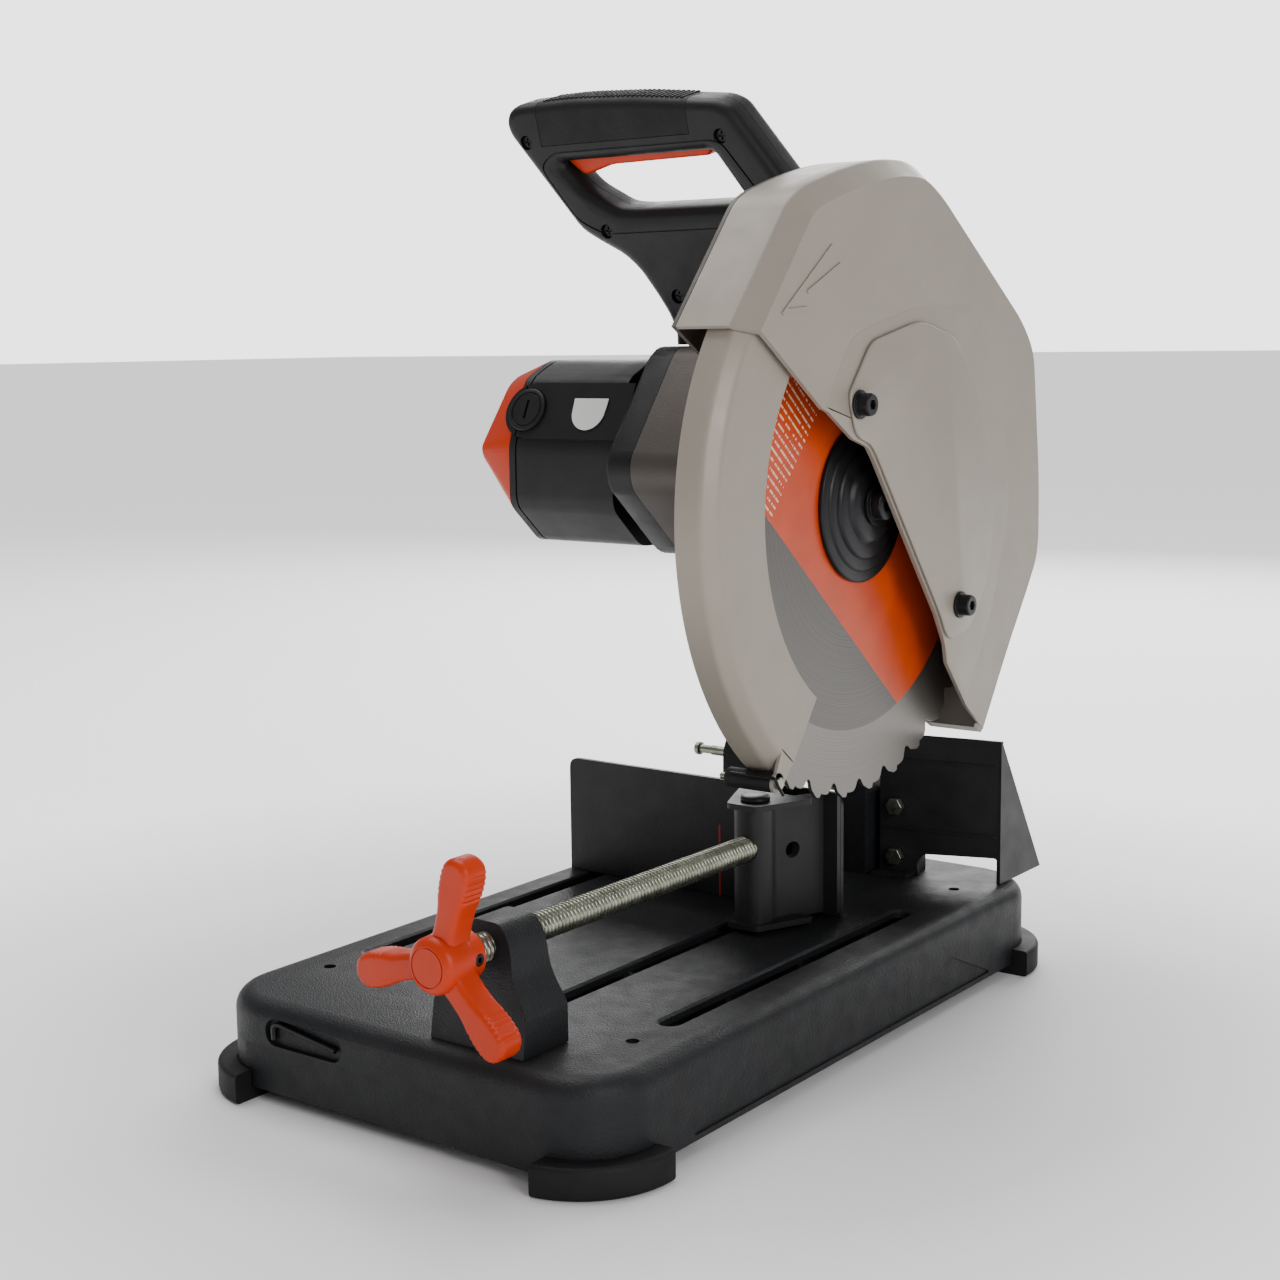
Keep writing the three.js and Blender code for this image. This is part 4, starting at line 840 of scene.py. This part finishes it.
def arm_groove(y0, z0, y1, z1, x):
    along = Vector((y1 - y0, z1 - z0)).normalized()
    side = Vector((-along.y, along.x)) * 1.5
    a, b = Vector((y0, z0)), Vector((y1, z1))
    return prism("x", [tuple(a - side), tuple(b - side), tuple(b + side), tuple(a + side)], x, x + 2.2)


# ------------------------------------------------------------------ motor
def panel(grow, side):
    dy, dz = PANEL_SLOPE
    corners = ((3 - grow, -4), (3 - grow, 2.4 + grow), (40 + grow, 2.4 + grow), (40 + grow, -4))
    pts = [(side * (-64 + t * dy - h * dz), 5 + t * dz + h * dy) for t, h in corners]
    end = on_panel(rod("z", 17.5 + grow, -2.5, 2.4 + grow, n=96), BRUSH_X, side)
    return join(prism("x", on_motor(pts), BRUSH_X, -116), end)


def on_panel(obj, x, side):
    turn_about(obj, "X", 65.8 if side > 0 else -65.8)
    dy, dz = PANEL_SLOPE
    return shifted(obj, x, MOTOR[0] + side * (-64 + 21.5 * dy), MOTOR[1] + 5 + 21.5 * dz)


def cap_holes():
    return [on_panel(rod("z", 14.3, -4, 16, n=96), BRUSH_X, side) for side in (1, -1)]


def motor_housing():
    body = loft("x", [(x, on_motor(BODY, 7)) for x in (-205, -124)])
    flare = [(-126, 0.7), (-119, 0.85), (-113, 0.97), (-110, 1), (-94, 1)]
    join(body, loft("x", [(x, on_motor(scaled(COLLAR, k), 9)) for x, k in flare]), panel(0, 1), panel(0, -1))
    groove = cut(loft("x", [(x, on_motor(inset(BODY, -3), 8)) for x in (-200.5, -199.3)]),
                 loft("x", [(x, on_motor(inset(BODY, 1.2), 7)) for x in (-202, -198)]))
    cut(body, rod("x", 46.3, -230, -93, *MOTOR, 96), *cap_holes(), groove)
    on_head(body, "motor_housing", 0.7)


def end_cap():
    rings = [(-231, inset(RIM, 3)), (-230, inset(RIM, 0.9)), (-228.5, RIM), (-205.3, BODY)]
    body = loft("x", [(x, on_motor(pts, 6)) for x, pts in rings])
    cut(body, panel(0.3, 1), panel(0.3, -1), rod("x", 40, -222, -200, *MOTOR, 96))
    vents = [prism("x", round_rect(18, 2, 1.9, MOTOR[0], MOTOR[1] + dz), -235, -218)
             for dz in (-24, -16, -8, 8, 16, 24)]
    cut(body, *vents, *cap_holes(), rod("y", 9.3, 40, 60, -214, 22))
    on_head(body, "motor_end_cap", 0.6)


def brush_cap(node, side):
    body = turned("z", [(-2.6, 14), (3.4, 14), (4.2, 13.7), (4.6, 13)], n=96)
    groove = cut(rod("z", 11.4, 3.6, 6, n=96), rod("z", 10.4, 3, 7, n=96))
    cut(body, prism("z", round_rect(1, 6.5, 0.9), 2.6, 7), groove)
    on_head(on_panel(body, BRUSH_X, side), node, 0.2)


def label():
    pts = [(-13, 8), (13, 8), (13, 4)] + [polar(12.6, -10 - i * 10) for i in range(17)]
    on_head(on_panel(prism("z", pts, 2.7, 3.2), -146, 1), "rating_label", 0.08)


def cable_inlet():
    steps = [(48, 9), (51.4, 9), (52, 8.6), (52.01, 7.5), (66, 6.5), (68, 5.6)]
    on_head(cut(turned("y", steps, -214, 22, 64), rod("y", 4, 46, 70, -214, 22)), "cable_inlet", 0.2)


# ------------------------------------------------------------------ D-handle
D_OUTLINE = [(-138, -12), (-138, 4), (-136.5, 12), (-139, 23), (-146, 36.7), (-156, 53), (-166, 62.7),
             (-184, 72.5), (-196, 80), (-239, 143), (-240.5, 151), (-237, 158), (-229, 161.5), (-184, 162),
             (-138, 159.5), (-78, 153), (-69, 148.5), (-35, 97.5), (-29, 80), (-33, 60), (-58, 22),
             (-62, -12)]
D_HOLE = [(-203, 124), (-188, 106), (-165, 92.5), (-152, 91), (-74, 90.5), (-67, 94), (-84, 121), (-88, 124)]
D_SCREWS = [(-225, 138), (-77, 132), (-174, 79), (-128, 36)]


def from_grip_plane(obj):
    c, s = math.cos(math.radians(GRIP_TILT)), math.sin(math.radians(GRIP_TILT))
    obj.data.transform(Matrix(((1, 0, 0, 0), (0, -s, -c, GRIP_Y), (0, c, -s, GRIP_Z), (0, 0, 0, 1))))
    return obj


def handle_body(shrink):
    outline = filleted(D_OUTLINE, 9, 5, (0, 21))
    half, edge = GRIP_HALF - shrink, 7 - shrink
    turns = [math.radians(90 * k / 6) for k in range(7)]
    rings = [(edge * (1 - math.sin(t)), edge * (1 - math.cos(t))) for t in reversed(turns)]
    low = [(-half + h, inset(outline, shrink + d)) for d, h in ((b, a) for a, b in rings)]
    high = [(-a, pts) for a, pts in reversed(low)]
    return loft("z", low + high)


def rubber_zone(grow):
    return block(-213 - grow, -99 + grow, 135 - grow, 200, -40, 40)


def handle_shell(node, side):
    body = cut(handle_body(0), rubber_zone(0.3))
    join(body, keep(handle_body(2.6), rubber_zone(1)))
    hole = filleted(D_HOLE, 6, 5)
    mouth = [(0, hole), (9.5, hole), (12, inset(hole, -1.2)), (14, inset(hole, -3.4)), (16, inset(hole, -7))]
    ends = [(-a, pts) for a, pts in reversed(mouth[1:])] + mouth
    cut(body, loft("z", ends), block(-207, -86, 120, 138, -6.8, 6.8))
    wells = [rod("z", 4.6, *((9, 40) if side > 0 else (-40, -9)), x, s) for x, s in D_SCREWS]
    groove = [(-218, 122), (-196, 87), (-176, 77), (-60, 77), (-50, 90), (-76, 128), (-84, 131), (-205, 131)]
    outer, inner = filleted(groove, 8, 4), inset(filleted(groove, 8, 4), 1.1)
    z0, z1 = (13.9, 20) if side > 0 else (-20, -13.9)
    cut(body, *wells, cut(prism("z", outer, z0, z1), prism("z", inner, z0 - 1, z1 + 1)))
    keep(body, block(-260, 0, -30, 200, *((0.15, 40) if side > 0 else (-40, -0.15))))
    from_grip_plane(body)
    on_head(cut(body, block(-260, 0, -80, 100, 40, 94.7)), node, 0.5)


def grip_rubber():
    ribs = [block(-209 + i * 3.6, -207.2 + i * 3.6, 146, 175, -20, 20) for i in range(30)]
    ridges = ribs.pop(0)
    join(ridges, *ribs)
    keep(ridges, prism("z", inset(filleted(D_OUTLINE, 9, 5, (0, 21)), -0.7), -10, 10, 0.6))
    sleeve = join(handle_body(0), ridges)
    keep(sleeve, rubber_zone(0))
    on_head(from_grip_plane(cut(sleeve, handle_body(2.3))), "handle_grip", 0.25)


def trigger():
    pts = [(-202, 124), (-196, 118.2), (-190, 113.2), (-168, 118.6), (-93, 119.6), (-90.5, 124),
           (-90.5, 128.5), (-202, 128.5)]
    on_head(from_grip_plane(prism("z", filleted(pts, 4, 5), -6, 6, 2)), "trigger", 0.2)


def handle_screw(node, x, s):
    body = turned("z", [(9.3, 3.8), (11.6, 4.2), (12.2, 4.1), (12.6, 3.7)], x, s, 48)
    cut(body, *[block(x - a, x + a, s - b, s + b, 11.4, 14) for a, b in ((2.6, 0.6), (0.6, 2.6))])
    on_head(from_grip_plane(body), node, 0.12)


# ------------------------------------------------------------------ the stage
def carried_over():
    for node, obj in frame["nodes"].items():
        if obj.hide_render:
            continue
        obj.data.materials.clear()
        obj.data.materials.append(MATERIALS[SLOT_OF[node]])


def floor():
    bpy.ops.mesh.primitive_plane_add(size=80, location=(0, 0, 0))
    plane = bpy.context.active_object
    plane.name = "floor"
    m = Nodes("floor")
    colour = m.ramp(m.noise(1.2, 2), (0.3, (0.93, 0.93, 0.93)), (0.7, (0.96, 0.96, 0.96)))
    m.shader.inputs["Emission Color"].default_value = (1, 1, 1, 1)
    radius = m.add("ShaderNodeVectorMath")
    radius.operation = "LENGTH"
    m.link(m.place, radius.inputs[0])
    # painted shadow: the floor glows white as a backdrop and lights the saw from below, but the glow fades to
    # none within 0.3 m of the centre, leaving a painted shadow pool under the saw
    m.link(m.span(radius.outputs["Value"], 0.0, 0.9), m.shader.inputs["Emission Strength"])
    finished = m.finish(colour, m.span(m.noise(3), 0.55, 0.65), m.bump(m.noise(40), 0.02, 0.001))
    plane.data.materials.append(finished)


def lamp(name, where, size, power, aim=(0, 0, 0.25)):
    data = bpy.data.lights.new(name, "AREA")
    data.shape = "RECTANGLE"
    data.size, data.size_y = size
    data.energy = power
    light = bpy.data.objects.new(name, data)
    bpy.context.scene.collection.objects.link(light)
    light.location = where
    light.rotation_euler = (Vector(aim) - Vector(where)).to_track_quat("-Z", "Y").to_euler()


def studio():
    world = bpy.data.worlds.new("studio")
    world.use_nodes = True
    tree = world.node_tree
    seen = tree.nodes.new("ShaderNodeLightPath")
    glow = tree.nodes.new("ShaderNodeMath")
    glow.operation = "MULTIPLY_ADD"
    glow.inputs[1].default_value = BACKDROP - FILL
    glow.inputs[2].default_value = FILL
    tree.links.new(seen.outputs["Is Camera Ray"], glow.inputs[0])
    tree.links.new(glow.outputs[0], tree.nodes["Background"].inputs["Strength"])
    tree.nodes["Background"].inputs["Color"].default_value = (1, 1, 1, 1)
    bpy.context.scene.world = world
    lamp("key", (2.0, -0.9, 1.1), (0.9, 0.9), 20)
    lamp("top", (-0.6, 0.2, 2.2), (1.6, 1.6), 34)
    lamp("back", (-0.6, 2.2, 1.2), (2.4, 1.2), 55)


def camera():
    az, pitch, roll = (math.radians(v) for v in (36.8847, 8.5386, -0.7527))
    right = Vector((math.cos(az), math.sin(az), 0))
    ahead = Vector((-math.sin(az) * math.cos(pitch), math.cos(az) * math.cos(pitch), -math.sin(pitch)))
    up = right.cross(ahead)
    x = math.cos(roll) * right + math.sin(roll) * up
    y = -math.sin(roll) * right + math.cos(roll) * up
    data = bpy.data.cameras.new("camera")
    data.lens = 56.52
    data.sensor_width = 36
    view = bpy.data.objects.new("camera", data)
    bpy.context.scene.collection.objects.link(view)
    view.matrix_world = Matrix.Translation((0.70503, (SHIFT_Y - 956.28) / 1000, 0.41204)) @ Matrix(
        (x, y, -ahead)).transposed().to_4x4()
    bpy.context.scene.camera = view


# ------------------------------------------------------------------ build
base()
for node, sx, sy in (("foot_front_right", 1, -1), ("foot_front_left", -1, -1), ("foot_rear_right", 1, 1),
                     ("foot_rear_left", -1, 1)):
    foot(node, sx, sy)
hex_key()
vise_block()
piece(thread(8, 1.05, -253, 20), "vise_screw", 0)
vise_handle()
grub_screw()
jaw()
fence()
hex_bolt("fence_bolt_left", -107.5, 98, 46, 63, 61.3)
hex_bolt("fence_bolt_right", 36.5, 98, 46, 63, 61.3)
hex_bolt("bracket_bolt_left", -30, 216, 57.4, 66, 65.3, 7)
hex_bolt("bracket_bolt_right", 2, 216, 57.4, 66, 65.3, 7)
deflector()
deflector_bolt("deflector_bolt_upper", 104)
deflector_bolt("deflector_bolt_lower", 70)
pivot_bracket()
pivot_hardware()
blade()
flanges()
lower_guard()
roller()
upper_guard()
side_plate()
arbor_cover()
cover_bolt("cover_bolt_upper", *COVER_BOLTS[0])
cover_bolt("cover_bolt_lower", *COVER_BOLTS[1])
head_casting()
motor_housing()
end_cap()
brush_cap("brush_cap_front", 1)
brush_cap("brush_cap_rear", -1)
label()
cable_inlet()
handle_shell("handle_shell_front", 1)
handle_shell("handle_shell_rear", -1)
grip_rubber()
trigger()
for i, (x, s) in enumerate(D_SCREWS):
    handle_screw(f"handle_screw_{i + 1}", x, s)
carried_over()
floor()
studio()
camera()

bpy.context.view_layer.update()
